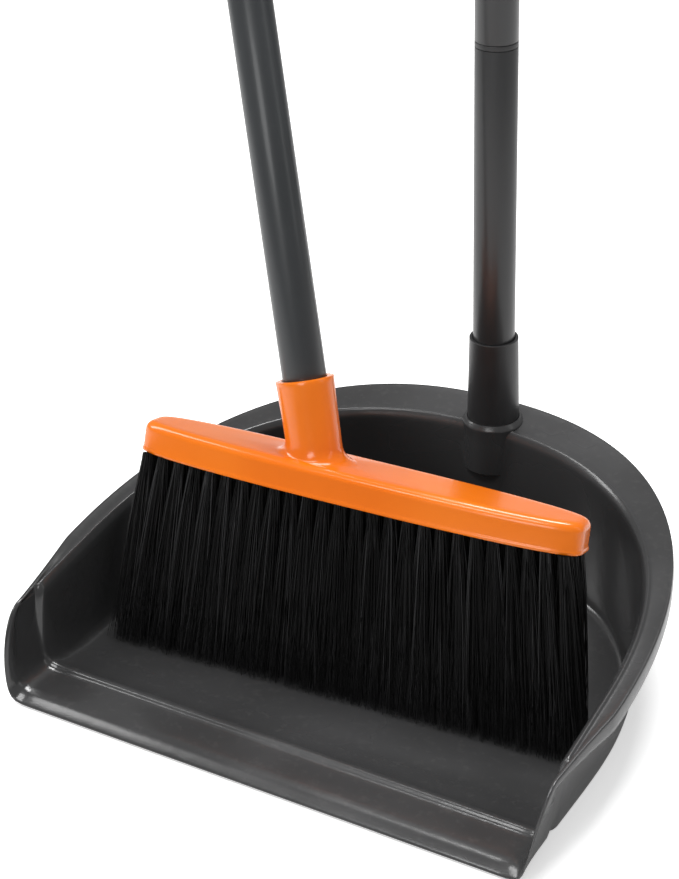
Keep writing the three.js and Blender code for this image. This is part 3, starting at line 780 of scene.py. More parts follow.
        # The floor's inside, the wall, the bead, the flange, its skirt, then down the outside to the foot.
        return [
            self.wall_ring(0, -self.floor_fillet - 9, (foot + 20, floor, inner - 20, 6), lambda y: floor),
            self.wall_ring(0, -self.floor_fillet, (foot + 12, floor, inner - 12, 6), lambda y: floor),
            self.wall_ring(0, -2, (foot + 5, 3.8, inner - 4, 5), lambda y: floor + 1),
            self.wall_ring(0.14, -1, (ridge_end + 3, 5.2, inner - 2, 5), wall_height(0.14)),
            self.wall_ring(0.5, 0, (ridge_end, crest, shelf_half, 5), wall_height(0.5)),
            self.wall_ring(0.92, 0, (shelf_end + 3.6, crest + 0.1, shelf_half, 5.4), wall_height(0.92)),
            self.wall_ring(0.985, 0.4, (shelf_end + 2.2, crest, shelf_half, 6.4), below(3.0)),
            self.wall_ring(1, 2.1, (shelf_end + 1.2, crest - 0.9, shelf_half, 7.6), below(0.5)),
            self.wall_ring(1, 3.1, (shelf_end + 0.2, level + 0.1, shelf_half, 9), below(-0.3)),
            self.wall_ring(1, 4.1, (shelf_end - 2, level - 0.1, shelf_half, 11), below(0.8)),
            self.wall_ring(1, 5.0, (self.lip_band + 1, level, shelf_half, 15.4), below(0.95)),
            self.flange_ring(2.6, (self.lip_band - 1.6, level - 0.5, shelf_half, 17), below(0.5)),
            self.flange_ring(1.2, (0.9, edge + 0.5, lip_half, self.nose_depth), below(0.1)),
            self.flange_ring(0, (0, edge, lip_half, self.nose_depth), rim),
            self.flange_ring(-0.25, (-0.1, edge - 0.4, lip_half, self.nose_depth), below(1.2)),
            self.flange_ring(-0.8, (-0.3, edge / 2, lip_half, self.nose_depth + 0.6), skirt),
            self.flange_ring(0.8, (0.8, 0.2, lip_half, self.nose_depth), skirt),
            self.flange_ring(1.4, (self.lip_band + 1, under, lip_half, 16), below(self.wall)),
            self.wall_ring(1, self.wall + 0.4, (shelf_end - 1, under, lip_half, 11), below(self.wall + 1.5)),
            self.wall_ring(0.5, self.wall, (ridge_end - 1.5, 3, lip_half, 8), wall_height(0.5)),
            self.wall_ring(0.04, self.wall * 0.5, (foot - 1.5, 1.6, self.foot_half - 6, 7), lambda y: 1.6),
            self.wall_ring(0, -1, (foot, 0, self.foot_half - 7, 6), lambda y: 0.0),
            self.wall_ring(0, -3, (foot + 2, 0, self.foot_half - 9, 6), lambda y: 0.0),
        ]

    def handle_place(self, lean_back: float = 1.1, lean_side: float = 2.4) -> Matrix:
        """Where the pan's handle starts: the centre of the boss's top, leaning as the handle does.

        Args:
            lean_back: Degrees that it leans to the back.
            lean_side: Degrees that it leans to the left.

        Returns:
            The place in metres.
        """
        y = self.depth - self.boss_inset
        spot = Vector((0, y - self.origin_y, self.rim(y) + self.boss_rise)) * MM
        back = Matrix.Rotation(math.radians(-lean_back), 4, "X")
        return Matrix.Translation(spot) @ back @ Matrix.Rotation(math.radians(-lean_side), 4, "Y")

    def build(self) -> Matrix:
        """Makes the pan.

        Returns:
            The handle's place.
        """
        shell = subdivided(loft("pan_shell", self.rings()), 1)
        place = self.handle_place()
        radius, deep = self.boss_radius, self.bore_depth
        boss = turned("boss", [
            (radius - 2.8, -3.0), (radius - 2.2, -3.0), (radius - 1.7, -3.6), (radius - 1.3, -4.6),
            (radius - 0.7, -5.3), (radius - 0.7, -6.2), (radius - 1.1, -8.0), (radius - 1.1, -14.0),
            (radius - 1.1, -deep), (radius / 2, -deep - 5),
        ], place, 96, solid=True)
        bore = turned("bore", [(self.bore_radius, -deep), (self.bore_radius, 12)], place, 96, solid=True)
        combined(shell, boss, "UNION")
        combined(shell, bore, "DIFFERENCE")
        finished(shell, self.palette.pan, "dustpan", ["pan_body"], angle=50)
        return place


# ---- Handles ---------------------------------------------------------------------------------


@dataclass
class Handle:
    """One sectional handle along +Z from foot: tubes, screws, nuts, grip and hanging cap. Millimetres."""

    palette: Palette
    name: str
    body: str
    place: Matrix
    foot: float
    count: int
    length: float
    tube_finish: bpy.types.Material
    radius: float = 11
    tube_wall: float = 0.25
    gap: float = 0.3
    collar: float = 2.6
    plug: float = 22
    stud: float = 6.5
    stud_length: float = 16
    insert_wall: float = 2
    grip_length: float = 105
    grip_wall: float = 1.7
    cap_collar: float = 6
    cap_length: float = 47
    loop_radius: float = 14.5
    loop_hole: float = 7.5
    loop_thickness: float = 9
    loop_foot: float = 9
    loop_edge: float = 2.4
    grip_grooves: int = 9
    groove_margin: float = 9
    groove_width: float = 2.2
    groove_floor: float = 0.8
    groove_depth: float = 0.35

    def __post_init__(self) -> None:
        """Works out the sizes that follow from the others."""
        self.joint = self.collar + 2 * self.gap
        self.plug_radius = self.radius - self.tube_wall - self.gap
        self.grip_radius = self.radius + self.gap + self.grip_wall

    def at(self, height: float) -> Matrix:
        """The place of a piece that stands at a height along the handle."""
        return self.place @ Matrix.Translation((0, 0, height * MM))

    def build(self) -> None:
        """Makes every piece of the handle."""
        for i in range(1, self.count + 1):
            start = self.foot + (i - 1) * (self.length + self.joint)
            inside = self.radius - self.tube_wall
            tube = turned(f"{self.name}_tube_skin_{i}", rounded([
                (inside, 0, 0.05), (self.radius, 0, 0.12),
                (self.radius, self.length, 0.12), (inside, self.length, 0.05),
            ], 2), self.at(start))
            finished(tube, self.tube_finish, self.body, [f"{self.name}_tube_{i}"])
            if i < self.count:
                self.build_joint(i, start + self.length + self.gap)
        top = self.foot + self.count * self.length + (self.count - 1) * self.joint
        self.build_grip(top - self.grip_length)
        self.build_cap(top)

    def build_joint(self, index: int, base: float) -> None:
        """Makes one screw with its collar, and the nut over it.

        Args:
            index: Number of the joint from the foot.
            base: Height of the collar's foot.
        """
        screw = turned(f"{self.name}_joint_screw_{index}", rounded([
            (self.plug_radius - self.insert_wall, -self.plug, 0), (self.plug_radius, -self.plug, 0.8),
            (self.plug_radius, 0, 0), (self.radius, 0, 0.35), (self.radius, self.collar, 0.35),
            (self.stud, self.collar, 0), (self.stud, self.collar + self.stud_length, 1.0),
            (self.stud - self.insert_wall, self.collar + self.stud_length, 0),
            (self.stud - self.insert_wall, -self.insert_wall, 0),
            (self.plug_radius - self.insert_wall, -self.insert_wall, 0),
        ]), self.at(base))
        finished(screw, self.palette.dark, self.body, [f"{self.name}_screw_{index}"])
        bore, roof = self.stud + self.gap, self.stud_length + self.gap
        nut = turned(f"{self.name}_joint_nut_{index}", rounded([
            (bore, 0, 0.4), (self.plug_radius, 0, 0.5), (self.plug_radius, roof + self.insert_wall, 0.8),
            (0.4, roof + self.insert_wall, 0), (0.4, roof, 0), (bore, roof, 0),
        ]), self.at(base + self.collar + self.gap), 48)
        finished(nut, self.palette.dark, self.body, [f"{self.name}_nut_{index}"])

    def build_grip(self, base: float) -> None:
        """Makes the foam grip, with shallow finger grooves round it.

        Args:
            base: Height of the grip's foot.
        """
        inner, outer = self.radius + self.gap, self.grip_radius
        half, flat, low = self.groove_width / 2, self.groove_floor / 2, outer - self.groove_depth
        profile = [(inner, 0), (outer - 0.9, 0), (outer - 0.25, 0.25), (outer, 0.9)]
        pitch = (self.grip_length - 2 * self.groove_margin) / self.grip_grooves
        for i in range(self.grip_grooves + 1):
            middle = self.groove_margin + i * pitch
            profile += [(outer, middle - half), (low, middle - flat), (low, middle + flat),
                        (outer, middle + half)]
        top = self.grip_length
        profile += [(outer, top - 0.9), (outer - 0.25, top - 0.25), (outer - 0.9, top), (inner, top)]
        grip = turned(f"{self.name}_foam_grip", profile, self.at(base))
        finished(grip, self.palette.foam, self.body, [f"{self.name}_grip"], angle=30)

    def loop_outline(self, steps: int = 48) -> tuple[list[Vector], list[Vector]]:
        """Outer and inner outline of the hanging loop, in the XZ plane.

        Args:
            steps: Points round the loop.

        Returns:
            The outer and the inner points in millimetres, equally many.
        """
        centre = Vector((0, 0, self.cap_length - self.loop_radius))
        outer, inner = [], []
        for i in range(steps):
            turn = 2 * math.pi * i / steps
            direction = Vector((math.cos(turn), 0, math.sin(turn)))
            reach = self.loop_radius
            if direction.z < 0:
                floor = self.cap_collar - 1.5
                down = (centre.z - floor) / -direction.z
                side = mix(self.loop_radius, self.loop_foot, clamp(-direction.z * 1.15))
                across = side / max(abs(direction.x), 1e-6)
                reach = max(self.loop_radius * 0.98, min(down, across))
            outer.append(centre + direction * reach)
            inner.append(centre + direction * self.loop_hole)
        return outer, inner

    def build_cap(self, base: float) -> None:
        """Makes the hanging cap: a hollow plug, a collar and a rounded loop.

        Args:
            base: Height of the collar's foot.
        """
        outer, inner = self.loop_outline()
        half, edge = self.loop_thickness / 2, self.loop_edge
        rise = [(0, half - edge), (edge * 0.3, half - edge * 0.3), (edge, half)]
        rings = [self.inset(outer, inner, shift, depth, True) for shift, depth in rise]
        rings += [self.inset(outer, inner, shift, depth, False) for shift, depth in reversed(rise)]
        rings += [self.inset(outer, inner, shift, -depth, False) for shift, depth in rise]
        rings += [self.inset(outer, inner, shift, -depth, True) for shift, depth in reversed(rise)]
        loop = loft(f"{self.name}_hang_loop", rings, closed=True)
        loop.data.transform(self.at(base))
        stem = turned("stem", rounded([
            (self.plug_radius - self.insert_wall, -self.plug, 0), (self.plug_radius, -self.plug, 0.8),
            (self.plug_radius, self.gap, 0), (self.grip_radius, self.gap, 0.5),
            (self.grip_radius, self.cap_collar, 2.6), (0.5, self.cap_collar, 0),
            (0.5, -self.insert_wall, 0), (self.plug_radius - self.insert_wall, -self.insert_wall, 0),
        ]), self.at(base))
        combined(loop, stem, "UNION")
        finished(loop, self.palette.orange, self.body, [f"{self.name}_hang_cap"], angle=35)

    @staticmethod
    def inset(outer: Ring, inner: Ring, shift: float, depth: float, outside: bool) -> Ring:
        """A ring of the loop's section.

        Args:
            outer: The outer outline.
            inner: The inner outline.
            shift: How far the ring is drawn in from its outline.
            depth: Its place across the loop.
            outside: True on the outer outline.

        Returns:
            The ring's points.
        """
        ring = []
        for far, near in zip(outer, inner):
            direction = (near - far).normalized()
            point = far + direction * shift if outside else near - direction * shift
            ring.append(Vector((point.x, depth, point.z)))
        return ring


@dataclass
class HandleFoot:
    """The sleeve in the pan's boss and the plug in the lowest tube. Millimetres."""

    palette: Palette
    place: Matrix
    bore: float = 11.3
    top_radius: float = 12.9
    foot_radius: float = 13.7
    height: float = 43
    spigot: float = 31
    floor: float = 2.7
    plug_radius: float = 10.45
    plug_height: float = 22
    gap: float = 0.3

    def build(self) -> float:
        """Makes both pieces.

        Returns:
            Height of the lowest tube's end over the boss's top.
        """
        top = self.height
        sleeve = turned("pan_handle_sleeve", rounded([
            (self.bore, self.floor - self.spigot, 0), (0.5, self.floor - self.spigot, 0),
            (0.5, -self.spigot, 0), (self.foot_radius, -self.spigot, 1), (self.foot_radius, 0, 0.2),
            (self.top_radius, top - 0.6, 0.3), (self.top_radius, top, 0.55), (self.bore, top, 0.25),
        ]), self.place, 96)
        finished(sleeve, self.palette.dark, "dustpan", ["pan_sleeve"])
        foot = self.floor - self.spigot + self.gap
        end = foot + self.plug_height
        plug = turned("pan_tube_plug", rounded([
            (0.5, foot, 0), (self.plug_radius, foot, 0.8), (self.plug_radius, end, 0.8), (0.5, end, 0),
        ]), self.place, 48)
        finished(plug, self.palette.dark, "dustpan", ["pan_foot_plug"])
        return foot


@dataclass
class Clip:
    """Ring round the pan's handle with an open jaw for the broom's. Millimetres."""

    palette: Palette
    place: Matrix
    bore: float = 11.3
    wall: float = 2.8
    height: float = 22
    spacing: float = 40
    stand: float = 735
    opening: float = 100
    steps_outside: int = 24
    steps_end: int = 4
    steps_inside: int = 40

    def outline(self) -> list[Vector]:
        """The jaw and web's outline from above.

        Returns:
            The outline's points in millimetres.
        """
        outer, inner = self.bore + self.wall, self.bore
        half = math.radians(self.opening / 2)
        web = outer / 2
        join = math.asin(web / outer)
        points = [Vector((outer * math.cos(join) - 1.5, web, 0))]
        centre = Vector((self.spacing, 0, 0))
        start, end = math.pi - join, half
        for i in range(self.steps_outside + 1):
            turn = mix(start, end, i / self.steps_outside)
            points.append(centre + Vector((math.cos(turn), math.sin(turn), 0)) * outer)
        for i in range(1, self.steps_end):
            turn = math.pi * i / self.steps_end
            middle = centre + Vector((math.cos(end), math.sin(end), 0)) * (inner + self.wall / 2)
            radial = Vector((math.cos(end), math.sin(end), 0)) * math.cos(turn)
            tangent = Vector((math.sin(end), -math.cos(end), 0)) * math.sin(turn) * 0.55
            points.append(middle + (radial + tangent) * (self.wall / 2))
        for i in range(self.steps_inside + 1):
            turn = mix(end, 2 * math.pi - end, i / self.steps_inside)
            points.append(centre + Vector((math.cos(turn), math.sin(turn), 0)) * inner)
        upper = points[:self.steps_outside + self.steps_end]
        return points + [Vector((point.x, -point.y, 0)) for point in reversed(upper)]

    def build(self) -> None:
        """Makes the clip as one solid with softened edges."""
        outline = self.outline()
        work = bmesh.new()
        face = work.faces.new([work.verts.new(point * MM) for point in outline])
        grown = bmesh.ops.extrude_face_region(work, geom=[face])
        lifted = [item for item in grown["geom"] if isinstance(item, bmesh.types.BMVert)]
        bmesh.ops.translate(work, vec=(0, 0, self.height * MM), verts=lifted)
        bmesh.ops.recalc_face_normals(work, faces=work.faces)
        mesh = bpy.data.meshes.new("clip_jaw")
        work.to_mesh(mesh)
        work.free()
        jaw = mesh_object("clip_jaw", mesh)
        outer = self.bore + self.wall
        ring = turned("ring", [(self.bore, 0), (outer, 0), (outer, self.height), (self.bore, self.height)],
                      Matrix(), 64)
        hole = turned("hole", [(self.bore, -1), (self.bore, self.height + 1)], Matrix(), 64, solid=True)
        combined(jaw, ring, "UNION")
        combined(jaw, hole, "DIFFERENCE")
        soft = jaw.modifiers.new("soft", "BEVEL")
        soft.width, soft.segments, soft.angle_limit = 0.0007, 3, math.radians(50)
        applied(jaw)
        jaw.data.transform(self.place @ Matrix.Translation((0, 0, self.stand * MM)))
        finished(jaw, self.palette.orange, "clip", ["pan_clip"], angle=35)


# ---- Broom -----------------------------------------------------------------------------------


@dataclass
class Head:
    """The broom's orange block with its tilted socket, and the plate under it. Millimetres."""

    palette: Palette
    x: float = -10
    y: float = -17
    yaw: float = 4.4
    lean: float = 16.6
    length: float = 236
    depth: float = 42
    height: float = 15.5
    edge: float = 4.5
    side_inset: float = 0.6
    power: float = 4.2
    taper: float = 0.22
    socket_offset: float = 25.5
    socket_tilt: float = 16.7
    socket_radius: float = 13.8
    bore: float = 11.3
    flare: float = 7
    side_flare: float = 1.7
    tube_seat: float = 30
    stud: float = 6.8
    stud_length: float = 16.3
    base: float = 3.4
    base_rim: float = 3
    bristle: float = 96
    floor: float = 2.5
    gap: float = 0.3
    socket_floor: float = 2.85

    def __post_init__(self) -> None:
        """Works out the socket's height and the head's place."""
        tilt = math.radians(self.socket_tilt)
        held = self.height - self.base - self.gap - self.socket_floor - self.stud * math.sin(tilt)
        self.socket_height = self.tube_seat + self.stud_length - held / math.cos(tilt)
        lift = self.floor + self.gap + self.bristle * math.cos(math.radians(self.lean))
        turn = Matrix.Rotation(math.radians(self.yaw), 4, "Z")
        turn = turn @ Matrix.Rotation(math.radians(-self.lean), 4, "X")
        self.place = Matrix.Translation(Vector((self.x, self.y, lift)) * MM) @ turn
        spot = Matrix.Translation(Vector((-self.socket_offset, 0, self.height)) * MM)
        self.socket_place = self.place @ spot @ Matrix.Rotation(-tilt, 4, "Y")

    def block_ring(self, inset: float, z: float, steps: int = 160) -> Ring:
        """The block's outline at a height.

        Args:
            inset: How far it is drawn in.
            z: Its height over the block's underside.
            steps: Points round it.

        Returns:
            The ring's points in millimetres.
        """
        length, depth = self.length / 2 - inset, self.depth / 2 - inset
        ring = []
        for i in range(steps):
            turn = 2 * math.pi * (i + 0.5) / steps
            c, s = math.cos(turn), math.sin(turn)
            x = length * math.copysign(abs(c) ** (2 / self.power), c)
            full = depth * math.copysign(abs(s) ** (2 / self.power), s)
            ring.append(Vector((x, full * (1 - self.taper * (x / length) ** 2), z)))
        return ring

    def socket_ring(self, along: float, across: float, z: float, steps: int = 96) -> Ring:
        """A ring round the socket.

        Args:
            along: How much wider it is along the block.
            across: How much wider it is across the block.
            z: Its height along the socket.
            steps: Points round it.

        Returns:
            The ring's points in millimetres.
        """
        turns = [2 * math.pi * i / steps for i in range(steps)]
        radius = self.socket_radius
        return [Vector(((radius + along) * math.cos(t), (radius + across) * math.sin(t), z)) for t in turns]

    def foot_ring(self, out: float, rise: float, steps: int = 96) -> Ring:
        """A ring of the fillet where the tilted socket meets the block's flat top.

        Args:
            out: How far it stands out along the block.
            rise: Its height over the block's top, along the socket.
            steps: Points round it.

        Returns:
            The ring's points.
        """
        ring = self.socket_ring(out, out * self.side_flare / self.flare, 0, steps)
        slope = math.tan(math.radians(self.socket_tilt))
        return [Vector((point.x, point.y, rise - point.x * slope)) for point in ring]

    def build(self) -> None:
        """Makes the block with its socket, and cuts the pocket for the plate under it."""
        side = self.side_inset
        rings = [self.block_ring(inset, z) for inset, z in (
            (2.4, 0), (0.25, 0), (0, 0.3), (0, 1.3), (0.3, 1.8), (0.45, 2.4), (side, self.height - self.edge),
        )]
        for i in range(1, 9):
            turn = math.pi / 2 * i / 8
            rings.append(self.block_ring(side + self.edge * (1 - math.cos(turn)),
                                         self.height - self.edge * (1 - math.sin(turn))))
        rings.append(self.block_ring(self.edge + 4, self.height))
        block = loft("broom_block", rings)
        block.data.transform(self.place)
        top = self.socket_height
        shapes = [self.foot_ring(self.flare, -4)]
        shapes += [self.foot_ring(self.flare * (1 - math.sin(t)), self.flare * (1 - math.cos(t)))
                   for t in (math.pi / 2 * i / 10 for i in range(11))]
        shapes += [self.socket_ring(0.3, 0.3, top * 0.6), self.socket_ring(0.65, 0.65, top - 2.5),
                   self.socket_ring(0.8, 0.8, top - 0.6), self.socket_ring(0.6, 0.6, top - 0.15),
                   self.socket_ring(0.1, 0.1, top)]
        socket = loft("socket", shapes)
        socket.data.transform(self.socket_place)
        combined(block, socket, "UNION")
        roof = self.base + self.gap
        pocket = loft("pocket", [self.block_ring(self.base_rim, z) for z in (-1, roof)])
        pocket.data.transform(self.place)
        combined(block, pocket, "DIFFERENCE")
        seat = top - self.tube_seat
        bore = turned("bore", [
            (self.stud, seat - self.stud_length), (self.stud, seat - 1), (self.bore, seat - 1),
            (self.bore, top - 0.5), (self.bore + 0.5, top), (self.bore + 0.5, top + 1),
        ], self.socket_place, 96, solid=True)
        combined(block, bore, "DIFFERENCE")
        finished(block, self.palette.orange, "broom", ["broom_head"], angle=38)

    def tip_distance(self, depth: float) -> float:
        """Distance from the block's underside down to the pan's floor at a depth in the leaning head."""
        return self.bristle - depth * math.tan(math.radians(self.lean))


@dataclass
class TuftTree:
    """A Geometry Nodes tree that plants a row of bristle tufts with named inputs for its sizes. Metres."""

    name: str = "bristle_row"
    wander: float = 0.0045
    shortening: float = 0.42
    shortening_power: float = 3.0
    bow: float = 0.008
    bow_turns: float = 60.0
    strand_sides: int = 3
    strand_segments: int = 4
    strand_taper: float = 0.3

    def __post_init__(self) -> None:
        """Builds the tree."""
        self.tree = bpy.data.node_groups.new(self.name, "GeometryNodeTree")
        self.nodes = Nodes(self.tree)
        face = self.tree.interface
        self.inputs: dict[str, str] = {}
        numbers = [("Root Half", 0.111), ("Left Reach", 0.122), ("Right Reach", 0.13), ("Length", 0.1),
                   ("Slant", 0.3), ("Root Radius", 0.002), ("Tip Radius", 0.006), ("Tip Depth", 0.004),
                   ("Strand Radius", 0.0002)]
        for label, value in numbers:
            socket = face.new_socket(name=label, in_out="INPUT", socket_type="NodeSocketFloat")
            socket.default_value = value
            self.inputs[label] = socket.identifier
        for label, whole in (("Tufts", 26), ("Strands", 60), ("Seed", 1)):
            socket = face.new_socket(name=label, in_out="INPUT", socket_type="NodeSocketInt")
            socket.default_value = whole
            self.inputs[label] = socket.identifier
        socket = face.new_socket(name="Finish", in_out="INPUT", socket_type="NodeSocketMaterial")
        self.inputs["Finish"] = socket.identifier
        face.new_socket(name="Geometry", in_out="OUTPUT", socket_type="NodeSocketGeometry")
        self._plant()

    def _random(self, seed: object, low: float, high: float, index: object) -> bpy.types.NodeSocket:
        """A random number for each point.

        Args:
            seed: A socket with the seed.
            low: Lowest value.
            high: Highest value.
            index: A socket that tells points apart.

        Returns:
            The number's socket.
        """
        node = self.nodes.add("FunctionNodeRandomValue", data_type="FLOAT")
        node.inputs[2].default_value = low
        node.inputs[3].default_value = high
        self.nodes.join(index, node.inputs["ID"])
        self.nodes.join(seed, node.inputs["Seed"])
        return node.outputs[1]

    def _plant(self) -> None:
        """Plants strands round every tuft, each from its root to its own tip."""
        nodes, join, maths = self.nodes, self.nodes.join, self.nodes.math
        given = nodes.add("NodeGroupInput")
        size = given.outputs
        line = nodes.add("GeometryNodeMeshLine", mode="OFFSET")
        join(size["Tufts"], line.inputs["Count"])
        line.inputs["Offset"].default_value = (0, 0, 0)
        number = nodes.add("GeometryNodeInputIndex")
        share = maths("DIVIDE", number.outputs[0], maths("SUBTRACT", size["Tufts"], 1.0))
        marked = nodes.add("GeometryNodeStoreNamedAttribute", data_type="FLOAT", domain="POINT")
        marked.inputs["Name"].default_value = "tuft"
        join(line.outputs[0], marked.inputs["Geometry"])
        join(share, marked.inputs["Value"])
        copies = nodes.add("GeometryNodeDuplicateElements", domain="POINT")
        join(marked.outputs[0], copies.inputs["Geometry"])
        join(size["Strands"], copies.inputs["Amount"])
        tuft = nodes.add("GeometryNodeInputNamedAttribute", data_type="FLOAT")
        tuft.inputs["Name"].default_value = "tuft"
        spot = tuft.outputs[0]
        index = number.outputs[0]
        seeds = [maths("ADD", size["Seed"], float(step)) for step in range(6)]
        turn = self._random(seeds[0], 0.0, 2 * math.pi, index)
        reach = maths("SQRT", self._random(seeds[1], 0.0, 1.0, index))
        across = maths("MULTIPLY", maths("COSINE", turn), reach)
        deep = maths("MULTIPLY", maths("SINE", turn), reach)
        middle = maths("MULTIPLY", maths("SUBTRACT", maths("MULTIPLY", spot, 2.0), 1.0), size["Root Half"])
        span = maths("ADD", size["Left Reach"], size["Right Reach"])
        inner_span = maths("SUBTRACT", span, maths("MULTIPLY", size["Tip Radius"], 2.0))
        first = maths("SUBTRACT", size["Left Reach"], size["Tip Radius"])
        far = maths("SUBTRACT", maths("MULTIPLY", spot, inner_span), first)
        astray = self._random(seeds[2], -1.0, 1.0, index)
        wander = maths("MULTIPLY", astray, self._random(seeds[3], 0.0, self.wander, index))
        root_x = maths("ADD", middle, maths("MULTIPLY", across, size["Root Radius"]))
        root_y = maths("MULTIPLY", deep, size["Root Radius"])
        tip_x = maths("ADD", maths("ADD", far, maths("MULTIPLY", across, size["Tip Radius"])), wander)
        lowest = maths("MULTIPLY", size["Left Reach"], -1.0)
        tip_x = maths("MINIMUM", maths("MAXIMUM", tip_x, lowest), size["Right Reach"])
        tip_y = maths("MULTIPLY", deep, size["Tip Depth"])
        fall = maths("SUBTRACT", size["Length"], maths("MULTIPLY", tip_y, size["Slant"]))
        lost = self._random(seeds[4], 0.0, self.shortening, index)
        short = maths("SUBTRACT", 1.0, maths("POWER", lost, self.shortening_power))
        tip_z = maths("MULTIPLY", maths("MULTIPLY", fall, short), -1.0)
        root = nodes.add("ShaderNodeCombineXYZ")
        tip = nodes.add("ShaderNodeCombineXYZ")
        for node, values in ((root, (root_x, root_y, 0.0)), (tip, (tip_x, tip_y, tip_z))):
            for place, value in enumerate(values):
                nodes.feed(value, node.inputs[place])
        apart = nodes.add("ShaderNodeVectorMath", operation="SUBTRACT")
        join(tip.outputs[0], apart.inputs[0])
        join(root.outputs[0], apart.inputs[1])
        placed = nodes.add("GeometryNodeSetPosition")
        shaded = nodes.add("GeometryNodeStoreNamedAttribute", data_type="FLOAT", domain="POINT")
        shaded.inputs["Name"].default_value = "strand"
        aim = nodes.add("GeometryNodeStoreNamedAttribute", data_type="FLOAT_VECTOR", domain="POINT")
        aim.inputs["Name"].default_value = "aim"
        join(copies.outputs["Geometry"], aim.inputs["Geometry"])
        join(apart.outputs[0], aim.inputs["Value"])
        join(aim.outputs[0], shaded.inputs["Geometry"])
        join(self._random(seeds[5], 0.0, 1.0, index), shaded.inputs["Value"])
        join(shaded.outputs[0], placed.inputs["Geometry"])
        join(root.outputs[0], placed.inputs["Position"])
        strand = self._strand()
        aimed = nodes.add("GeometryNodeInputNamedAttribute", data_type="FLOAT_VECTOR")
        aimed.inputs["Name"].default_value = "aim"
        stand = nodes.add("FunctionNodeAlignRotationToVector", axis="Z")
        join(aimed.outputs[0], stand.inputs["Vector"])
        far_off = nodes.add("ShaderNodeVectorMath", operation="LENGTH")
        join(aimed.outputs[0], far_off.inputs[0])
        scale = nodes.add("ShaderNodeCombineXYZ")
        join(size["Strand Radius"], scale.inputs[0])
        join(size["Strand Radius"], scale.inputs[1])
        join(far_off.outputs["Value"], scale.inputs[2])
        planted = nodes.add("GeometryNodeInstanceOnPoints")
        join(placed.outputs[0], planted.inputs["Points"])
        join(strand, planted.inputs["Instance"])
        join(stand.outputs[0], planted.inputs["Rotation"])
        join(scale.outputs[0], planted.inputs["Scale"])
        real = nodes.add("GeometryNodeRealizeInstances")
        join(planted.outputs[0], real.inputs[0])
        bent = nodes.add("GeometryNodeSetPosition")
        join(real.outputs[0], bent.inputs["Geometry"])
        join(self._bend(), bent.inputs["Offset"])
        painted = nodes.add("GeometryNodeSetMaterial")
        join(bent.outputs[0], painted.inputs["Geometry"])
        join(size["Finish"], painted.inputs["Material"])
        made = nodes.add("NodeGroupOutput")
        join(painted.outputs[0], made.inputs[0])

    def _strand(self) -> bpy.types.NodeSocket:
        """One strand a unit long and tapered, with its height kept as an attribute.

        Returns:
            The strand's geometry socket.
        """
        nodes = self.nodes
        cone = nodes.add("GeometryNodeMeshCone", fill_type="NONE")
        cone.inputs["Vertices"].default_value = self.strand_sides
        cone.inputs["Side Segments"].default_value = self.strand_segments
        cone.inputs["Radius Top"].default_value = self.strand_taper
        cone.inputs["Radius Bottom"].default_value = 1.0
        cone.inputs["Depth"].default_value = 1.0
        along = nodes.add("GeometryNodeStoreNamedAttribute", data_type="FLOAT", domain="POINT")
        along.inputs["Name"].default_value = "along"
        place = nodes.add("GeometryNodeInputPosition")
        parts = nodes.add("ShaderNodeSeparateXYZ")
        nodes.join(place.outputs[0], parts.inputs[0])
        nodes.join(cone.outputs["Mesh"], along.inputs["Geometry"])
        nodes.join(parts.outputs["Z"], along.inputs["Value"])
        return along.outputs[0]

    def _bend(self) -> bpy.types.NodeSocket:
        """A gentle sideways bow of each strand that is nothing at its root and its tip.

        Returns:
            The offset's socket.
        """
        nodes, maths = self.nodes, self.nodes.math
        along = nodes.add("GeometryNodeInputNamedAttribute", data_type="FLOAT")
        along.inputs["Name"].default_value = "along"
        strand = nodes.add("GeometryNodeInputNamedAttribute", data_type="FLOAT")
        strand.inputs["Name"].default_value = "strand"
        share = along.outputs[0]
        bow = maths("MULTIPLY", maths("MULTIPLY", share, maths("SUBTRACT", 1.0, share)), self.bow)
        turn = maths("MULTIPLY", strand.outputs[0], self.bow_turns)
        offset = nodes.add("ShaderNodeCombineXYZ")
        nodes.join(maths("MULTIPLY", bow, maths("SINE", turn)), offset.inputs[0])
        nodes.join(maths("MULTIPLY", bow, maths("COSINE", turn)), offset.inputs[1])
        return offset.outputs[0]


